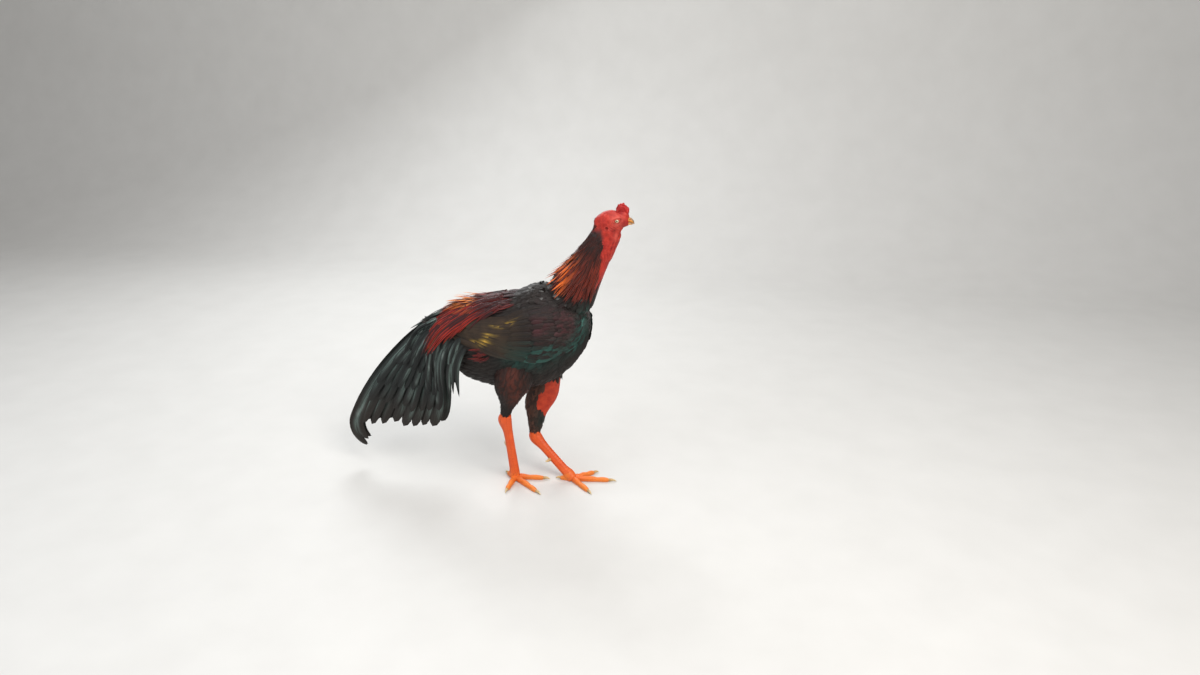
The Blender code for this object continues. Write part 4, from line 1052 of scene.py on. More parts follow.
def wing_core(s, angle):
    """How far the folded wing stands off the torso."""
    a = np.degrees(np.abs(angle))
    f = np.clip((WING_FRONT - s) / (WING_FRONT - WING_REAR), 0, 1)
    over = smoothstep(a, 48, 66) * (1 - smoothstep(a, 104 + 8 * f, 122 + 4 * f))
    along = smoothstep(s, WING_REAR - 0.16, WING_REAR + 0.22) * (1 - smoothstep(s, 0.80, 0.93))
    return WING_SWELL * over * along


def wing_marks(points, along, across, seed):
    """Gold spots and band, the red spot, and how far to the front a place lies."""
    chosen = smoothstep(np.sin(seed * 173.0 + along * 2.0), -0.5, 0.3)
    web = bell(across - 0.75 * np.sign(np.sin(seed * 59.0)), 0.75)
    spots = near_lines(points, SPOT_LINES) * (0.30 + 0.70 * web) * (0.40 + 0.60 * chosen)
    band = near_lines(points, BAND_LINES) * chosen * web
    shown = np.where(points[..., 1] > 0, LEFT_GOLD, 1.0)
    gold = np.clip(shown * (0.95 * spots + 0.80 * band), 0, 1)
    red = near_lines(points, RED_LINES) * (0.4 + 0.6 * chosen)
    return np.stack([gold, red, smoothstep((points - SHIFT)[..., 0], 0.060, 0.140)], axis=-1)


def wing_paint():
    """Brown wing feathers, black-maroon with a painted teal sheen to the front. Marks: gold, red, front."""
    paint = VanePaint("wing_feathers", 260.0, 24.0, 41.0, (0.02, 0.09), 42.0)
    gold, red, front = paint.attribute("marks")
    maroon, teal_sheen, _ = paint.attribute("sheen")
    golden = paint.layers((0.190, 0.120, 0.022), (gold.step(0.35, 0.85), (0.70, 0.40, 0.055)))
    brown = paint.layers(
        (0.020, 0.012, 0.007),
        (paint.patch.step(0.25, 0.75), (0.044, 0.026, 0.014)),
        (paint.side.step(0.72, 1.0) * 0.5, (0.009, 0.006, 0.004)),
        (front, (0.010, 0.007, 0.006)),
        (maroon * (0.55 + paint.seed * 0.6), MAROON),
        # Painted teal sheen, from the breast's marks
        (teal_sheen * (0.4 + paint.seed * 0.7), TEAL_SHEEN),
        (gold.step(0.05, 0.45), golden),
        (red, (0.46, 0.020, 0.010)),
        (paint.shaft * 0.4, (0.055, 0.035, 0.020)),
        (paint.barbs * 0.25, (0.006, 0.004, 0.004)))
    return paint.coat(Base_Color=brown, Roughness=0.48 - teal_sheen * 0.14 + paint.patch * 0.08,
                      Metallic=teal_sheen * 0.5 + maroon * 0.2, Specular_IOR_Level=0.24,
                      Normal=paint.relief(paint.barbs + paint.shaft * 1.5, 0.35, 0.0004))


wing_finish = wing_paint()


def folded_wing(side):
    coat = Plumage("wing_feathers_" + side, WING_SEEDS[side], wing_marks)
    chance = coat.chance
    for name, (first, last), ranks, angles, count, length, width, slants, lift in WING_TIERS:
        rows = 10 if length > 0.05 else 6
        t = shares(rows)
        for rank in range(ranks):
            share = rank / max(1, ranks - 1)
            f = (np.arange(count) + 0.5 * (rank % 2)) / (count - 0.5)
            s = last + (first - last) * share + chance.normal(0, 0.009, count)
            if name == "primary":
                s = s + 0.10 * f
            elif name != "secondary":
                s = s + ROW_BOW * (np.sin(np.pi * np.clip(f, 0, 1)) - 0.5)
            angle = np.radians(angles[0] + (angles[1] - angles[0]) * f + chance.normal(0, 0.8, count))
            slant = np.radians(slants[0] + (slants[1] - slants[0]) * f) + chance.normal(0, 0.035, count)
            long = length * (1 - 0.16 * f * (name == "secondary")) * chance.uniform(0.92, 1.08, count)
            path_s, path_a = along_form(torso_form, s, angle, long, slant, rows)
            layer = lift + 0.0018 * (1 - share) * (ranks > 1) + 0.0011 * f[:, None]
            layer = layer * np.minimum(1.0, 0.2 + 2.5 * t) + chance.uniform(0, 0.0009, count)[:, None] * t
            lifts = wing_core(path_s, path_a) + layer
            path, face = torso_form.surface(path_s, path_a * SIDES[side], lifts)
            wide = width * chance.uniform(0.92, 1.08, count)
            coat.grow(path, face, round_end(wide, rows, 5.0), 0.26, unwrap(s, angle * SIDES[side]))
    # Over the wing's front runs the maroon and the painted teal sheen of the breast
    sheen = body_marks(np.concatenate(coat.verts), *np.concatenate(coat.values["grain"]).T)
    keep_values(coat.finish(wing_finish, "wing_plumage", "wing_" + side).data, "sheen", sheen)


for side in SIDES:
    folded_wing(side)


# Tail: broad main feathers under rows of curved coverts. On top lie two wide sickles a side, which
# hang furthest and hook under at their ends. All are stiff vanes, black with a green-grey sheen.
TAIL_SEED = 23
# Side outlines in which the feathers fan, as the four points of a curve each: top, and front
TAIL_TOP = ((-0.0990, 0.356), (-0.148, 0.351), (-0.260, 0.226), (-0.306, 0.118))
TAIL_FRONT = ((-0.1040, 0.345), (-0.114, 0.300), (-0.080, 0.205), (-0.110, 0.118))
# Tier: feathers a side, share of the fan's length, width, places out from the middle, fan from, to
TAIL_TIERS = (
    (8, 1.03, 0.0310, 0.0020, 0.0120, 0.04, 0.97),
    (9, 0.88, 0.0220, 0.0100, 0.0170, 0.02, 1.00),
    (10, 0.71, 0.0175, 0.0150, 0.0215, 0.02, 1.02),
    (10, 0.54, 0.0150, 0.0195, 0.0255, 0.02, 1.04),
    (9, 0.38, 0.0140, 0.0235, 0.0290, 0.04, 1.06),
)
SICKLE_LINES = (
    ((-0.104, 0.364), (-0.132, 0.356), (-0.172, 0.323), (-0.238, 0.252), (-0.286, 0.186),
     (-0.3172, 0.129), (-0.3265, 0.102), (-0.3235, 0.078), (-0.3125, 0.061), (-0.297, 0.047)),
    ((-0.104, 0.360), (-0.130, 0.349), (-0.166, 0.315), (-0.228, 0.246), (-0.273, 0.184),
     (-0.3020, 0.130), (-0.3110, 0.106), (-0.3090, 0.087), (-0.3010, 0.074), (-0.290, 0.066)),
)
SICKLE_WIDTH, SICKLE_ROWS = 0.0225, 26
# How far out each sickle lies, of the right and of the left
SICKLE_PLACES = {"right": (0.0013, 0.0036), "left": (0.0024, 0.0062)}
# How far from the middle feathers of the back and the hanging coverts pass beside the tail
TAIL_CLEAR, HUNG_CLEAR = 0.0315, 0.028
# Coverts: how many a side lie over the tail's root and hang down in front of it, how wide they are
ROOT_COVERTS, HUNG_COVERTS, COVERT_WIDTH = 46, 34, 0.0125


def curve_of_four(stops, t):
    """Points of curves with four control points each, at shares t."""
    a, b, c, d = (stops[..., i, :] for i in range(4))
    t = t[..., None]
    return a * (1 - t) ** 3 + 3 * b * t * (1 - t) ** 2 + 3 * c * t ** 2 * (1 - t) + d * t ** 3


def tail_marks(points, along, across, seed):
    """Painted sheen along one edge, a brown bloom low down, and painted highlight flecks."""
    p = points - SHIFT
    # Painted reflection: a sheen along one edge of each feather, with highlight flecks in it
    edge = bell(across - (0.55 - 1.1 * (np.sin(seed * 77.0) > -0.3)), 0.42)
    middle = smoothstep(along, 0.08, 0.30) * (1 - smoothstep(along, 0.60, 0.90))
    sheen = edge * middle * (0.35 + 0.65 * np.abs(np.sin(seed * 131.0)))
    brown = (1 - smoothstep(p[..., 2], 0.130, 0.215)) * 0.85
    highlight_fleck = smoothstep(np.sin(along * 60 + seed * 400), 0.93, 1.0) * edge * middle * 0.5
    return np.stack([sheen, brown, highlight_fleck], axis=-1)


def tail_paint():
    """Black tail feathers. Marks: painted green-grey sheen, brown bloom, painted highlight flecks."""
    paint = VanePaint("tail_feathers", 420.0, 30.0, 41.0, (0.02, 0.08), 28.0)
    sheen, brown, highlight_fleck = paint.attribute("marks")
    places = {0: paint.along * 5.0, 1: paint.across * 9.0, 2: paint.seed * 60.0}
    lines = paint.speckle(1.0, 3.0, paint.add("ShaderNodeCombineXYZ", values=places)).step(0.38, 0.72)
    # The sheen's streaks are painted reflections
    streak = sheen * (0.15 + paint.barbs * 0.15 + lines * 1.1)
    black = paint.layers(
        (0.005, 0.006, 0.006),
        (paint.patch, (0.013, 0.016, 0.015)),
        (brown, (0.018, 0.013, 0.010)),
        (streak, (0.150, 0.205, 0.185)),
        (highlight_fleck, (0.26, 0.30, 0.28)),
        (paint.side.step(0.75, 1.0) * 0.4, (0.004, 0.004, 0.004)),
        (paint.shaft * 0.45, (0.030, 0.028, 0.026)))
    return paint.coat(Base_Color=black, Roughness=0.40 + paint.patch * 0.12 - streak * 0.12,
                      Metallic=streak * 0.4, Specular_IOR_Level=0.26,
                      Normal=paint.relief(paint.barbs + paint.shaft * 2.0, 0.35, 0.0004))


def blunt_end(width, t):
    """Widths of tail feathers: narrow at the root, full from a third on, with a round end."""
    shape = (0.35 + 0.65 * smoothstep(t, 0.0, 0.30)) * np.sqrt(np.maximum(0.0, 1 - t ** 16))
    return np.asarray(width)[:, None] * shape


# Feathers of the back: the angle that counts as steep, how often their paths are smoothed, and how
# far over the tail's top they pass
BACK_STEEP, BACK_SMOOTHING, ROOF_LIFT = math.radians(72), 2, 0.0018


def over_the_tail(s, a, length, lifts, rows, rise=0.0):
    """Paths off the back and down its sides, which pass beside the tail's root or over it."""
    way, steep = np.sign(a), np.abs(a) / BACK_STEEP
    root, normal = torso_form.surface(s, a, -0.001)
    one = np.ones(len(s))
    start = (np.stack([-one, 0.30 * way * steep, 0.05 - 0.45 * steep + rise], axis=-1)
             + normal * lifts[:, None] * 12)
    rear = 1 - smoothstep(s, 0.12, 0.36)
    fall = smoothstep(steep, 0.20, 0.55)
    down = -0.30 - 0.45 * rear - 0.95 * fall * (0.60 + 0.40 * rear)
    hang = np.stack([-one * (1 - 0.30 * fall), 0.12 * way * steep, down + rise], axis=-1)
    path = hung(root, start, hang, length, 1.7, rows)
    path[:, 1:] = torso_form.clear(path[:, 1:], lifts[:, None])
    for _ in range(BACK_SMOOTHING):
        path[:, 2:-1] = 0.25 * path[:, 1:-2] + 0.5 * path[:, 2:-1] + 0.25 * path[:, 3:]
    rearward = -(path[..., 0] - SHIFT[0])
    behind = smoothstep(rearward, 0.080, 0.110)
    aside = smoothstep(steep, 0.24, 0.30)[:, None]
    keep = np.maximum(np.abs(path[..., 1]), behind * aside * TAIL_CLEAR)
    path[..., 1] = keep * np.where(way == 0, 1.0, way)[:, None]
    line = curve_of_four(np.array(TAIL_TOP)[None], np.linspace(0, 1, 60))
    roof = np.interp(rearward, -line[:, 0], line[:, 1]) + ROOF_LIFT
    over = (behind > 0.02) & (aside < 0.5)
    path[..., 2] = np.where(over, np.maximum(path[..., 2], roof), path[..., 2])
    return path, square_to(normal, path)


def vanes(coat, side, count, share, width, near, far, first, last):
    """One tier of the tail's fan on one side."""
    chance, way, rows = coat.chance, SIDES[side], 14
    f = first + (last - first) * (np.arange(count) + 0.25 * (way > 0)) / (count - 0.75)
    f = f + chance.normal(0, 0.012, count)
    long = share * chance.uniform(0.95, 1.02, count)
    stops = np.array(TAIL_TOP) * (1 - f)[:, None, None] + np.array(TAIL_FRONT) * f[:, None, None]
    grown = 1 - (1 - shares(rows)) ** 1.5
    t = grown * long[:, None]
    flat = curve_of_four(stops[:, None], t)
    place = near + (far - near) * (0.25 + 0.75 * f) + chance.uniform(-0.0006, 0.0006, count)
    out = place[:, None] * (0.45 + 0.55 * np.minimum(1.0, 1.8 * t) ** 0.8)
    curl = 0.0040 * chance.uniform(-0.4, 1.0, count)[:, None] * (t / long[:, None]) ** 3
    path = np.stack([flat[..., 0], (out + curl) * way, flat[..., 1]], axis=-1) + SHIFT
    lean = np.radians(chance.uniform(6, 20, count))
    face = np.stack([-0.6 * np.sin(lean), way * np.cos(lean), np.sin(lean)], axis=-1)
    wide = width * chance.uniform(0.9, 1.1, count)
    coat.grow(path, square_to(face, path), blunt_end(wide, grown), 0.22,
              unwrap(0.02 + 0.1 * f, way * (0.6 + f), 1, 2))


def sickle(coat, side, k):
    way, t = SIDES[side], shares(SICKLE_ROWS)[0]
    line = smooth_rows(SICKLE_LINES[k], SICKLE_ROWS)
    path = np.stack([line[:, 0], way * SICKLE_PLACES[side][k] * (0.5 + t), line[:, 1]], axis=-1)[None]
    path = path + SHIFT
    width = SICKLE_WIDTH * (0.40 + 0.60 * smoothstep(t, 0.0, 0.30)) * (1 - t ** 9) ** 0.8
    coat.grow(path, square_to(np.array([[-0.15, way, 0.15]]), path), width[None], 0.20,
              unwrap(np.array([0.02]), np.array([0.3 * way]), 1, 2))


def root_coverts(coat, way):
    """Coverts that lie back over the tail's root."""
    chance, many, rows = coat.chance, ROOT_COVERTS, 14
    s, a = chance.uniform(0.0, 0.17, many), np.radians(chance.uniform(2, 84, many)) * way
    length = chance.uniform(0.070, 0.115, many) * (0.72 + 0.28 * smoothstep(np.abs(a), 0.3, 0.9))
    path, face = over_the_tail(s, a, length, 0.0018 + 0.003 * chance.random(many), rows)
    coat.grow(path, face, long_taper(np.full(many, COVERT_WIDTH), rows, 3.2), 0.28, unwrap(s, a, 1, 2))


def hanging_coverts(coat, way):
    """Long narrow coverts that hang down in front of the tail, shorter on the left."""
    chance, many, rows = coat.chance, HUNG_COVERTS, 14
    s, a = chance.uniform(0.05, 0.245, many), np.radians(chance.uniform(76, 104, many))
    s, one = s * (0.75 if way > 0 else 1.0), np.ones(many)
    root, normal = torso_form.surface(s, a * way, -0.002)
    start = np.stack([-0.5 * one, 0.5 * way * one, -0.6 * one], axis=-1)
    k = chance.random(many)
    hang = np.stack([0.02 - 0.16 * k, -0.24 * way * one, -one], axis=-1)
    length = chance.uniform(0.085, 0.150, many) * (0.85 if way > 0 else 1.0)
    path = hung(root, start, hang, length, 2.6, rows)
    path[..., 1] = np.where(np.abs(path[..., 1]) < HUNG_CLEAR, way * HUNG_CLEAR, path[..., 1])
    path[:, 1:] = torso_form.clear(path[:, 1:], 0.004)
    coat.grow(path, square_to(normal, path), long_taper(np.full(many, COVERT_WIDTH), rows, 2.4), 0.3,
              unwrap(s, a * way, 1, 2))


def tail_feathers():
    coat = Plumage("tail_feathers", TAIL_SEED, tail_marks, 7)
    for side, way in SIDES.items():
        for tier in TAIL_TIERS:
            vanes(coat, side, *tier)
        for k in range(len(SICKLE_LINES)):
            sickle(coat, side, k)
        root_coverts(coat, way)
        hanging_coverts(coat, way)
    return coat.finish(tail_paint(), "black_plumage", "tail")


tail_feathers()


# Saddle: narrow pointed feathers that fall from the back over the wings' tips and the tail's
# root, dark in front, crimson down the sides and orange at the ends on top, with a ruffled tuft.
# The crimson feathers under the folded wing grow with them.
SADDLE_SEED = 14
SADDLE_MANY, BAY_MANY, TUFT_MANY = 470, 36, 54


def saddle_marks(points, along, across, seed):
    """Edges, orange ends on top, dark in front and at the roots."""
    p = points - SHIFT
    high = smoothstep(p[..., 2], 0.392, 0.425) * (1 - smoothstep(np.abs(p[..., 1]), 0.035, 0.060))
    ends = smoothstep(along, 0.40, 0.80)
    strays = 0.35 * (np.sin(seed * 91.0) > 0.75) * ends * smoothstep(-p[..., 0], 0.0, 0.04)
    bright = np.maximum(high * ends * smoothstep(-p[..., 0], -0.004, 0.022), strays)
    front = smoothstep(p[..., 0], -0.018, 0.034)
    dark = front * (0.80 + 0.2 * np.sin(seed * 47.0))
    dark = np.maximum(dark, 0.75 * (1 - smoothstep(along, 0.05, 0.35)))
    dark = np.maximum(dark, 0.85 * (np.sin(seed * 331.0) > 0.35)) * (1 - 0.9 * bright)
    return np.stack([0.5 + 0 * dark, bright, np.clip(dark, 0, 1)], axis=-1)


def bay_marks(points, along, across, seed):
    """Crimson, darker on some feathers than on others."""
    return np.stack([0.5 + 0 * seed, 0 * seed, 0.62 + 0.30 * np.sin(seed * 77.0)], axis=-1)


def saddle_feathers():
    coat = Plumage("saddle_hackles", SADDLE_SEED, saddle_marks)
    chance, many, rows = coat.chance, SADDLE_MANY, 11
    s = 0.46 - 0.32 * chance.random(many) ** 0.85
    widest = np.radians(np.interp(s, (0.14, 0.30, 0.46), (68, 54, 38)))
    a = chance.uniform(-1, 1, many) * widest
    order = np.argsort(s)
    s, a = s[order], a[order]
    steep = np.abs(a) / BACK_STEEP
    length = np.interp(s, (0.14, 0.30, 0.46), (0.098, 0.128, 0.056)) * chance.uniform(0.75, 1.08, many)
    length = length * (0.50 + 0.50 * smoothstep(steep, 0.20, 0.65))
    width = np.interp(s, (0.14, 0.46), (0.0072, 0.0080)) * chance.uniform(0.8, 1.15, many)
    lifts = 0.0025 + 0.0075 * steep * smoothstep(s, 0.20, 0.40) + 0.004 * chance.random(many)
    path, face = over_the_tail(s, a, length, lifts, rows)
    coat.grow(path, face, long_taper(width, rows, 2.0), 0.30, unwrap(s, a))

    # Under the folded wing
    many = BAY_MANY
    s, a = chance.uniform(0.305, 0.350, many), np.radians(chance.uniform(97, 109, many))
    a = a * np.where(np.arange(many) % 2 == 0, 1.0, -1.0)
    length, slant = chance.uniform(0.015, 0.024, many), chance.normal(0.35, 0.2, many)
    lifts = -0.002 + 0.0075 * np.minimum(1.0, 2.5 * shares(rows)) + 0.0015 * chance.random(many)[:, None]
    path, face = draped(torso_form, s, a, length, slant, lifts)
    coat.grow(path, face, long_taper(length * 0.24, rows, 2.4), 0.3, unwrap(s, a), bay_marks)

    # The tuft, which stands up behind the middle of the back
    many = TUFT_MANY
    s, a = chance.uniform(0.20, 0.34, many), np.radians(chance.normal(0, 20, many))
    length, rise = chance.uniform(0.034, 0.056, many), chance.uniform(0.05, 0.38, many)
    path, face = over_the_tail(s, a, length, 0.003 + 0.004 * chance.random(many), rows, rise)
    coat.grow(path, face, long_taper(np.full(many, 0.0068), rows, 2.0), 0.30, unwrap(s, a))
    paint = pointed_paint("saddle_feathers", (0.018, 0.006, 0.007), (0.250, 0.012, 0.009),
                          (0.50, 0.036, 0.012), (0.74, 0.240, 0.045))
    return coat.finish(paint, "red_plumage", "saddle")


saddle_feathers()


# Thighs: short soft feathers that lie down the leg to the hock, dark maroon on the near leg and
# browner on the far one. The far leg's front is worn bare, as on birds that spar, and so is a
# little of the near hock: both show red skin.
THIGH_SEEDS, THIGH_SPACING = {"left": 41, "right": 42}, 0.0062
THIGH_LINES = (((0.080, 0.066, 0.276), (0.096, 0.066, 0.225), 0.030, 1.0),)
# Down each leg: how far the bare skin reaches to each side of the front, in degrees
BARE_PATCH = {
    "left": ((0.14, 0.20, 0.34, 0.52, 0.62, 0.72), (0.0, 78.0, 104.0, 108.0, 70.0, 0.0)),
    "right": ((0.60, 0.74, 0.98), (0.0, 34.0, 40.0)),
}


def thigh_marks(points, along, across, seed):
    """Maroon or brown, and a painted teal sheen on a tuft low on the far leg."""
    x, y, z = np.moveaxis(points - SHIFT, -1, 0)
    left = y > 0
    chosen = 0.35 + 0.65 * smoothstep(np.sin(seed * 37.0), -0.6, 0.6)
    tuft = left * bell(np.hypot(x - 0.122, (z - 0.135) / 1.6), 0.016)
    low = (1 - smoothstep(z, 0.20, 0.25)) * (1 - tuft)
    brown = np.where(left, low, near_lines(points, THIGH_LINES))
    # The second mark is a painted teal sheen on the tuft
    return np.stack([brown * chosen, 0.16 * tuft, 0 * tuft], axis=-1)


def thigh_feathers(side, paint):
    coat = Plumage("thigh_feathers_" + side, THIGH_SEEDS[side], thigh_marks)
    chance, form, rows = coat.chance, thigh_forms[side], 6
    s, a = rows_over(form, THIGH_SPACING, 0.02, 0.96, chance)
    a = within_turn(a)
    ragged = 1 + 0.12 * np.sin(s * 60 + 5 * np.sin(s * 23)) + 0.05 * chance.normal(0, 1, len(s))
    kept = np.abs(a) > np.radians(np.interp(s, *BARE_PATCH[side])) * ragged
    s, a = s[kept], a[kept]
    many = len(s)
    length = np.interp(s, (0.0, 1.0), (0.026, 0.013)) * chance.uniform(0.85, 1.2, many)
    lifts = settled(0.0020, chance.uniform(0.0004, 0.0024, many), rows)
    path, face = draped(form, s, a, length, chance.normal(0, 0.12, many), lifts, 1.0)
    coat.grow(path, face, round_end(length * 0.46, rows, 4.0), 0.30,
              unwrap(s, a, 0 if side == "left" else 1, 2))
    return coat.finish(paint, "black_plumage")


thigh_feathers("right", dark_paint("near_thigh_feathers", (0.105, 0.024, 0.014)))
thigh_feathers("left", dark_paint("far_thigh_feathers", (0.120, 0.052, 0.034)))


# Shanks and feet: one scaled hide over the bones of each leg, orange-red on the shank and
# yellower on the toes. Broad plates lie in rows down the front and on top of the toes, with
# small round scales at the sides and rough pads below.
SHANKS = {
    "right": (
        (0.0568, -0.0338, 0.1696, 0.0112, 0.0118, 0.0098),
        (0.0545, -0.0320, 0.1550, 0.0134, 0.0164, 0.0114),
        (0.0575, -0.0280, 0.1250, 0.0110, 0.0098, 0.0082),
        (0.0610, -0.0215, 0.0750, 0.0114, 0.0086, 0.0078),
        (0.0645, -0.0150, 0.0300, 0.0116, 0.0096, 0.0086),
    ),
    "left": (
        (0.1040, 0.0308, 0.1036, 0.0118, 0.0120, 0.0100),
        (0.1070, 0.0290, 0.0900, 0.0142, 0.0150, 0.0114),
        (0.1250, 0.0250, 0.0700, 0.0113, 0.0100, 0.0084),
        (0.1530, 0.0180, 0.0430, 0.0109, 0.0094, 0.0078),
        (0.1760, 0.0125, 0.0215, 0.0108, 0.0098, 0.0086),
    ),
}
ANKLES = {"right": (0.0660, -0.0110), "left": (0.1970, 0.0060)}
TOE_NAMES = ("inner", "middle", "outer", "hind")
TOE_HEADINGS = {"right": (8.0, -40.0, -92.0, 140.0), "left": (-46.0, 7.0, 44.0, 178.0)}
TOE_LENGTHS = (0.066, 0.084, 0.058, 0.028)
TOE_PADS = (2, 3, 3, 1)
TOE_ROOT, TOE_TIP, TOE_SINK = 0.0074, 0.0049, 0.74
LEG_VOXEL = 0.0007
# Plates: length along the leg, half the arc that they cover, how far their lower edges stand out
SHANK_PLATE, SHANK_ARC, SHANK_PROUD = 0.0062, math.radians(64), 0.00085
TOE_PLATE, TOE_ARC, TOE_PROUD = 0.0038, math.radians(72), 0.00055
BEAD_SIZE, BEAD_PROUD = 0.0024, 0.00040


def toe_form(side, k):
    heading = math.radians(TOE_HEADINGS[side][k])
    way = np.array((math.cos(heading), math.sin(heading), 0.0))
    start = np.array((*ANKLES[side], 0.0))
    rows = []
    count = 4 * TOE_PADS[k] + 3
    for i in range(count):
        f = i / (count - 1)
        swell = 1.0 + 0.07 * math.sin(math.pi * (TOE_PADS[k] * f * 2 - 0.5))
        size = (TOE_ROOT + (TOE_TIP - TOE_ROOT) * f) * swell
        point = start + way * (TOE_LENGTHS[k] * f)
        rows.append((point[0], point[1], size * TOE_SINK, size, size, size * 0.92))
    return Form(rows, UP)


def beads(u, v, size):
    """Rounded scales on a staggered grid over two measures of length: 1 in their middles."""
    best = np.full(u.shape, np.inf)
    for shift in (0.0, 0.5):
        a = (u / size + shift) % 1.0 - 0.5
        b = (v / (size * 1.6) + shift) % 1.0 - 0.5
        best = np.minimum(best, np.hypot(a, b * 1.6))
    return np.clip(1.0 - (best / 0.56) ** 2, 0.0, 1.0)


def plates(along, aside, length, arc_width, columns):
    """Plates that overlap down a limb: how proud they stand, from 0 in the grooves to 1."""
    column = (aside > 0) * 0.5 if columns == 2 else 0.0
    u = (along / length + column) % 1.0
    side = np.abs(aside)
    middle = smoothstep(side, 0.0, 0.0009) if columns == 2 else 1.0
    edge = smoothstep(arc_width - side, -0.0002, 0.0012)
    return (0.25 + 0.75 * u) * smoothstep(1.0 - u, 0.0, 0.14) * middle * edge


def scale_relief(side, points):
    """Scale height at each point, how deep it lies in a groove, and how far down the leg it is."""
    bones = [(Form(SHANKS[side], AHEAD), SHANK_PLATE, SHANK_ARC, SHANK_PROUD, 2, 0.0, 0.55)]
    for k in range(len(TOE_NAMES)):
        bones.append((toe_form(side, k), TOE_PLATE, TOE_ARC, TOE_PROUD, 1, 0.60, 0.40))
    nearest = np.full(len(points), np.inf)
    height, groove, down, under = (np.zeros(len(points)) for _ in range(4))
    for form, pitch, arc, proud, columns, first, span in bones:
        i, gap, u, v, w = form.nearest(points)
        gap = gap - form.half[i]
        along = np.cumsum(np.r_[0, np.linalg.norm(np.diff(form.centre, axis=0), axis=1)])[i] + w
        angle = np.arctan2(u, v)
        size = (form.rise[i] + form.half[i]) / 2
        aside = angle * size
        wave = 0.0005 * ripple(points, 300.0, 3.0)
        front = plates(along + wave, aside, pitch, arc * size, columns)
        bead = beads(along, aside + 0.4 * wave, BEAD_SIZE)
        covered = smoothstep(arc - np.abs(angle), -0.05, 0.05)
        back = np.abs(angle) > math.radians(128)
        if columns == 2:
            rear = plates(along + wave, (math.pi - np.abs(angle)) * size * np.sign(angle),
                          pitch * 0.72, math.radians(50) * size, 2)
            bead = np.where(back, rear, bead)
        else:
            bead = np.where(back, beads(along, aside, BEAD_SIZE * 0.7) * 0.8, bead)
        value = covered * front * proud + (1 - covered) * bead * BEAD_PROUD
        # How deep a point lies in a groove: it darkens the lines between scales, partly with painted shade
        deep = 1 - (covered * smoothstep(front, 0.02, 0.25) + (1 - covered) * smoothstep(bead, 0.0, 0.3))
        closer = gap < nearest
        nearest = np.where(closer, gap, nearest)
        height = np.where(closer, value, height)
        groove = np.where(closer, deep, groove)
        down = np.where(closer, first + span * along / form.length, down)
        under = np.where(closer, back * (1.0 if columns == 1 else 0.4), under)
    return height, np.stack([groove, down, under], axis=-1)


def leg_paint():
    """Scaled leg. Marks: groove, way down the leg, back or underside."""
    paint = Paint("leg_scales")
    groove, down, under = paint.attribute("marks")
    patch = paint.speckle(70.0)
    fine = paint.speckle(420.0, 2.0)
    scales = paint.layers(
        (0.62, 0.055, 0.008),
        (patch, (0.80, 0.128, 0.018)),
        (down.step(0.45, 0.95), (0.80, 0.215, 0.028)),
        (under * 0.5, (0.74, 0.160, 0.045)),
        # Dark lines between the scales, deepened by painted shade in their grooves
        (groove * 0.85, (0.26, 0.022, 0.007)),
        (fine.step(0.55, 0.8) * 0.22, (0.88, 0.36, 0.12)))
    return paint.coat(Base_Color=scales, Roughness=0.42 + patch * 0.1 + groove * 0.15,
                      Normal=paint.relief(fine, 0.25, 0.0002), Specular_IOR_Level=0.4,
                      Subsurface_Weight=0.06, Subsurface_Radius=(0.004, 0.0015, 0.0008))


leg_finish = leg_paint()


def scaled_leg(side):
    shank = Form(SHANKS[side], AHEAD)
    foot_end = shank.centre[-1] - SHIFT
    ankle = ANKLES[side]
    joint = Form(((*foot_end, shank.rise[-1], shank.drop[-1], shank.half[-1]),
                  (foot_end[0] * 0.4 + ankle[0] * 0.6, foot_end[1] * 0.4 + ankle[1] * 0.6,
                   0.0130, 0.0122, 0.0118, 0.0102),
                  (*ankle, 0.0040, 0.0110, 0.0110, 0.0108)), AHEAD)
    meshes = [tube("shank", shank, 60, 32), tube("ankle", joint, 20, 32)]
    for k in range(len(TOE_NAMES)):
        form = toe_form(side, k)
        stops = np.linspace(0, 1, 50)
        rounding = -0.55 * form.at(stops)[4] * smoothstep(stops, 0.93, 1.0) ** 2
        meshes.append(grid_mesh("toe", tube_points(form, stops, 24, rounding[:, None])))
    item = fuse("leg_" + side, meshes, LEG_VOXEL, 3)
    points, outward = read_points(item.data)
    height, marks = scale_relief(side, points)
    points = points + outward * height[:, None]
    points[:, 2] = np.maximum(points[:, 2], 0.0)
    move_points(item.data, points)
    keep_values(item.data, "marks", marks)
    dress(item, leg_finish, "leg_scales", "shank_" + side, "foot_" + side)


for side in SIDES:
    scaled_leg(side)


# Claws and spurs: horn over a bony core, pale yellow at the tips and darker where they grow from
# the skin. The claws rest on the floor; the spurs stand off the inside of each shank, cut short.
CLAW_LENGTHS = (0.014, 0.016, 0.013, 0.012)
# Share of the length, height of the middle, radius
CLAW_LINE = ((-0.30, 0.0040, 0.0034), (0.0, 0.0040, 0.0036), (0.35, 0.0047, 0.0029),
             (0.7, 0.0037, 0.0019), (1.0, 0.0010, 0.0005))
SPUR_PLACE, SPUR_ANGLE, SPUR_RADIUS, SPUR_LENGTH = 0.70, math.radians(142), 0.0046, 0.0150
SPUR_LEAN = 0.35


def horn_coat(paint, colour, rough, streak, relief):
    """Horn's surface, which lets a little light in."""
    return paint.coat(Base_Color=colour, Roughness=0.30 + streak * rough, Normal=relief,
                      Subsurface_Weight=0.08, Subsurface_Radius=(0.003, 0.002, 0.001))


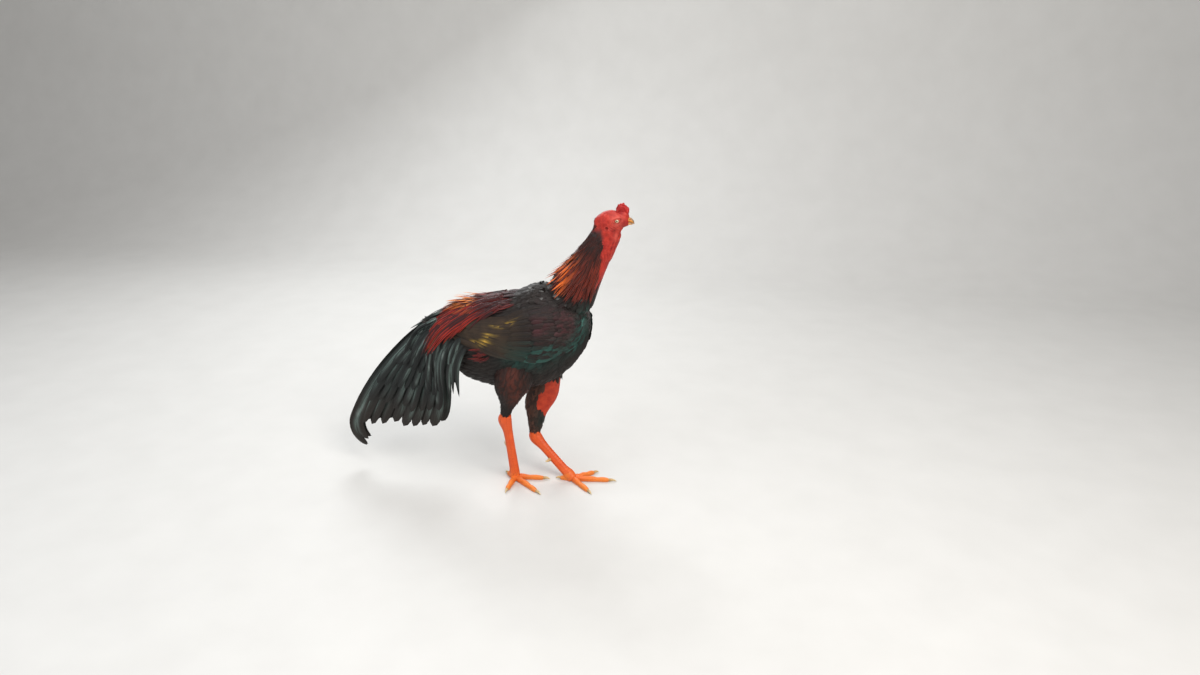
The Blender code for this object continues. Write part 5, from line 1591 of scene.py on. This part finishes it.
def claw_paint(root, tip):
    """Horn with growth lines. The first mark is the share of the length."""
    paint = Paint("claw_horn")
    share = paint.attribute("marks")[0]
    streak = paint.speckle(160.0, 4.0)
    rings = ((share * 70.0 + streak * 4.0).sine() + 1.0) * 0.5
    colour = paint.layers(
        root,
        (share.step(0.1, 0.9), tip),
        (streak.step(0.45, 0.75) * 0.45, shade(root, 0.55)),
        (rings * 0.12, shade(root, 0.5)))
    return horn_coat(paint, colour, 0.2, streak, paint.relief(rings + streak, 0.3, 0.0002))


claw_finish = claw_paint((0.50, 0.26, 0.080), (0.72, 0.55, 0.28))


def share_marks(stops, sides):
    """Mark values for a closed tube: the first is the share along it."""
    marks = np.zeros((len(stops) * sides + 2, 3))
    marks[:-2, 0] = np.repeat(stops, sides)
    marks[-1, 0] = 1.0
    return marks


def horn_piece(name, form, rows, sides, node, lowest=-1.0, ring=0.0):
    """A curved cone of horn with rings where it has grown."""
    stops = np.linspace(0, 1, rows)
    lifts = ring * np.sin(stops * 26.0) * (1 - stops)
    points = tube_points(form, stops, sides, lifts[:, None])
    points[..., 2] = np.maximum(points[..., 2], lowest)
    mesh = grid_mesh(name, points)
    keep_values(mesh, "marks", share_marks(stops, sides))
    dress(link(name, mesh), claw_finish, "horn", node)


for side, way in SIDES.items():
    for k, toe in enumerate(TOE_NAMES):
        tip = toe_form(side, k)
        end, ahead = tip.centre[-1] - SHIFT, tip.ahead[-1]
        rows = [(*(end + ahead * CLAW_LENGTHS[k] * share)[:2], high, wide, wide, wide * 0.78)
                for share, high, wide in CLAW_LINE]
        name = side + "_" + toe
        horn_piece("nail_" + name, Form(rows, UP), 22, 14, "claw_" + name, lowest=0.0)
    shank = Form(SHANKS[side], AHEAD)
    root, normal = shank.surface(np.array([SPUR_PLACE]), np.array([-SPUR_ANGLE * way]))
    root, normal = root[0] - SHIFT, normal[0]
    lean = np.array((0.0, 0.0, SPUR_LEAN))
    rows = []
    for t, r in ((-0.15, 1.05), (0.0, 1.0), (0.3, 0.82), (0.65, 0.52), (0.9, 0.28), (1.0, 0.10)):
        place = root + (normal + lean * max(t, 0.0)) * SPUR_LENGTH * t
        rows.append((*place, SPUR_RADIUS * r, SPUR_RADIUS * r, SPUR_RADIUS * r * 0.9))
    horn_piece("spur_horn_" + side, Form(rows, UP), 26, 18, "spur_" + side, ring=0.00018)


# Beak: two horn sheaths, short, stout and a little hooked, yellow at the sides and grey on the
# ridge and tip. Both grow out of the red skin; the nostrils open under a soft lip of the upper one.
UPPER_BEAK = (
    (0.3140, 0.0, 0.6085, 0.0072, 0.0040, 0.0076),
    (0.3186, 0.0, 0.6085, 0.0065, 0.0035, 0.0068),
    (0.3235, 0.0, 0.6085, 0.0052, 0.0034, 0.0056),
    (0.3280, 0.0, 0.6068, 0.0036, 0.0030, 0.0038),
    (0.3310, 0.0, 0.6040, 0.0018, 0.0022, 0.0018),
    (0.3322, 0.0, 0.6008, 0.0006, 0.0007, 0.0006),
)
LOWER_BEAK = (
    (0.3140, 0.0, 0.6022, 0.0034, 0.0036, 0.0066),
    (0.3186, 0.0, 0.6020, 0.0034, 0.0032, 0.0058),
    (0.3225, 0.0, 0.6018, 0.0036, 0.0028, 0.0048),
    (0.3265, 0.0, 0.6012, 0.0032, 0.0020, 0.0031),
    (0.3295, 0.0, 0.6006, 0.0016, 0.0010, 0.0013),
)
NOSTRIL = np.array((0.3246, 0.0050, 0.6106))


def beak_paint():
    """Beak horn. Marks: share of the length, height over the middle, groove, which is painted shade in the
    nostril.
    """
    paint = Paint("beak_horn")
    share, high, groove = paint.attribute("marks")
    streak = paint.speckle(240.0, 4.0)
    grey = (share * 0.95 + high * 0.50 + streak * 0.35).step(0.70, 1.20)
    colour = paint.layers(
        (0.62, 0.200, 0.016),
        (streak.step(0.3, 0.7), (0.74, 0.330, 0.045)),
        (grey * 0.85, (0.17, 0.135, 0.095)),
        # Painted shade in the nostril's hollow
        (groove, (0.10, 0.030, 0.012)))
    return horn_coat(paint, colour, 0.18, streak, paint.relief(streak, 0.25, 0.0002))


def beak_half(name, stations, node, paint):
    form = Form(stations, UP)
    rows, sides = 44, 48
    stops = np.linspace(0, 1, rows)
    points = tube_points(form, stops, sides).reshape(-1, 3)
    angles = np.tile(np.arange(sides) * (2 * math.pi / sides), rows)
    outward = unit(points - np.repeat(form.at(stops)[0], sides, axis=0))
    p = points - SHIFT
    gap = (np.stack([p[:, 0], np.abs(p[:, 1]), p[:, 2]], axis=-1) - NOSTRIL) / (0.0019, 0.0030, 0.0009)
    hole = bell(np.linalg.norm(gap, axis=1), 1.0) if node == "beak_upper" else np.zeros(len(p))
    lip = bell(np.linalg.norm(gap - (0, 0, 1.7), axis=1), 1.1) if node == "beak_upper" else hole
    ridge = bell(np.minimum(angles, 2 * math.pi - angles), 0.35) * (node == "beak_upper")
    flakes = 0.00010 * np.sin(p[:, 0] * 2600 + 3 * ripple(p, 500.0, 1.0)) * (angles % math.pi > 0.2)
    lift = 0.00035 * ridge - 0.0016 * hole + 0.0005 * lip + flakes
    points = points + outward * lift[:, None]
    mesh = grid_mesh(name, points.reshape(rows, sides, 3))
    marks = share_marks(stops, sides)
    marks[:-2, 1] = np.cos(angles)
    # The third mark is painted shade in the nostril's hollow
    marks[:-2, 2] = np.clip(hole * 1.3, 0, 1)
    keep_values(mesh, "marks", marks)
    dress(link(name, mesh), paint, "horn", node)


beak_finish = beak_paint()
beak_half("bill_upper", UPPER_BEAK, "beak_upper", beak_finish)
beak_half("bill_lower", LOWER_BEAK, "beak_lower", beak_finish)


# Comb: a pea comb of three rows of fleshy knobs on the crown, the middle row highest, in the
# same warty red skin as the face.
COMB_BASE = ((0.3085, 0.0, 0.6270), (0.0105, 0.0064, 0.0105))
COMB_FOOT = ((0.3075, 0.0, 0.6215), (0.0135, 0.0085, 0.0060))
COMB_LINE = ((0.2980, 0.6270), (0.3015, 0.6318), (0.3055, 0.6345), (0.3100, 0.6352),
             (0.3145, 0.6325), (0.3180, 0.6265))
# Row: offset from the middle, size, how much higher it stands
COMB_ROWS = ((0.0, 1.0, 0.0030), (0.0049, 0.80, -0.0012), (-0.0049, 0.80, -0.0012))
COMB_KNOB = 0.0056
COMB_SEED = 61


def pea_comb():
    chance = np.random.default_rng(COMB_SEED)
    meshes = [ball_mesh("base", *COMB_BASE), ball_mesh("foot", *COMB_FOOT)]
    for offset, share, higher in COMB_ROWS:
        for x, z in COMB_LINE:
            size = COMB_KNOB * share * chance.uniform(0.80, 1.08)
            place = (x + chance.normal(0, 0.0004), offset + chance.normal(0, 0.0003),
                     z + higher * chance.uniform(0.6, 1.1))
            meshes.append(ball_mesh("knob", place, (size * 0.66, size * 0.58, size * 1.1)))
    item = fuse("comb_knobs", meshes, 0.00045, 2)
    points, outward = read_points(item.data)
    warts = ripple(points, 420.0, 9.0) * 0.00035 + ripple(points, 900.0, 5.0) * 0.00018
    move_points(item.data, points + outward * warts[:, None])
    # Sunken places of the warts are darkened: painted shade
    deep = np.clip(-warts * 2200, 0, 1)
    keep_values(item.data, "marks", np.stack([np.ones(len(deep)), 0 * deep, deep * 0.7], axis=-1))
    dress(item, bare_paint("comb_skin", (0.31, 0.006, 0.006), (0.46, 0.016, 0.012)), "bare_skin", "comb")


pea_comb()


# Eyes: round balls set into the lids, as glass eyes are set into a mounted bird: wet, with a
# pearl-white iris that has a warm rim, and a black pupil.
PUPIL, IRIS = 0.00165, 0.00365
EYE_AXIS = (0.12, 1.0, 0.04)


def eye_paint():
    """Eye. Marks: distance from the axis over the iris's radius, angle round it, nothing."""
    paint = Paint("eye_wet")
    out, turn, _ = paint.attribute("marks")
    pupil = PUPIL / IRIS
    threads = ((turn * 90.0).sine() * 0.5 + 0.5) * paint.speckle(900.0, 3.0)
    colour = paint.layers(
        (0.66, 0.56, 0.36),
        (threads, (0.46, 0.30, 0.14)),
        (out.step(0.78, 1.0), (0.42, 0.12, 0.035)),
        (out.step(0.97, 1.10), (0.030, 0.012, 0.010)),
        (1.0 - out.step(pupil - 0.05, pupil + 0.03), (0.002, 0.002, 0.002)))
    return paint.coat(Base_Color=colour, Roughness=0.18 + threads * 0.1, Coat_Weight=1.0,
                      Coat_Roughness=0.02, Specular_IOR_Level=0.6)


def eyeball(side, paint):
    way = SIDES[side]
    axis = unit(np.array(EYE_AXIS) * (1, way, 1))
    mesh = ball_mesh("eyeball_" + side, EYE_CENTRE * (1, way, 1), (EYE_RADIUS,) * 3, 64, 48)
    points, _ = read_points(mesh)
    middle = EYE_CENTRE * (1, way, 1) + SHIFT
    p = points - middle
    forward = p @ axis
    off = p - forward[:, None] * axis
    out = np.where(forward > 0, np.linalg.norm(off, axis=1), 2 * EYE_RADIUS)
    bulge = 0.00045 * np.clip(1 - (out / (IRIS * 1.1)) ** 2, 0, 1)
    move_points(mesh, points + axis * bulge[:, None])
    first = unit(np.cross(axis, UP))
    turn = np.arctan2(off @ np.cross(axis, first), off @ first)
    keep_values(mesh, "marks", np.stack([out / IRIS, turn, 0 * out], axis=-1))
    dress(link("eyeball_" + side, mesh), paint, "eye", "eye_" + side)


eye_finish = eye_paint()
for side in SIDES:
    eyeball(side, eye_finish)
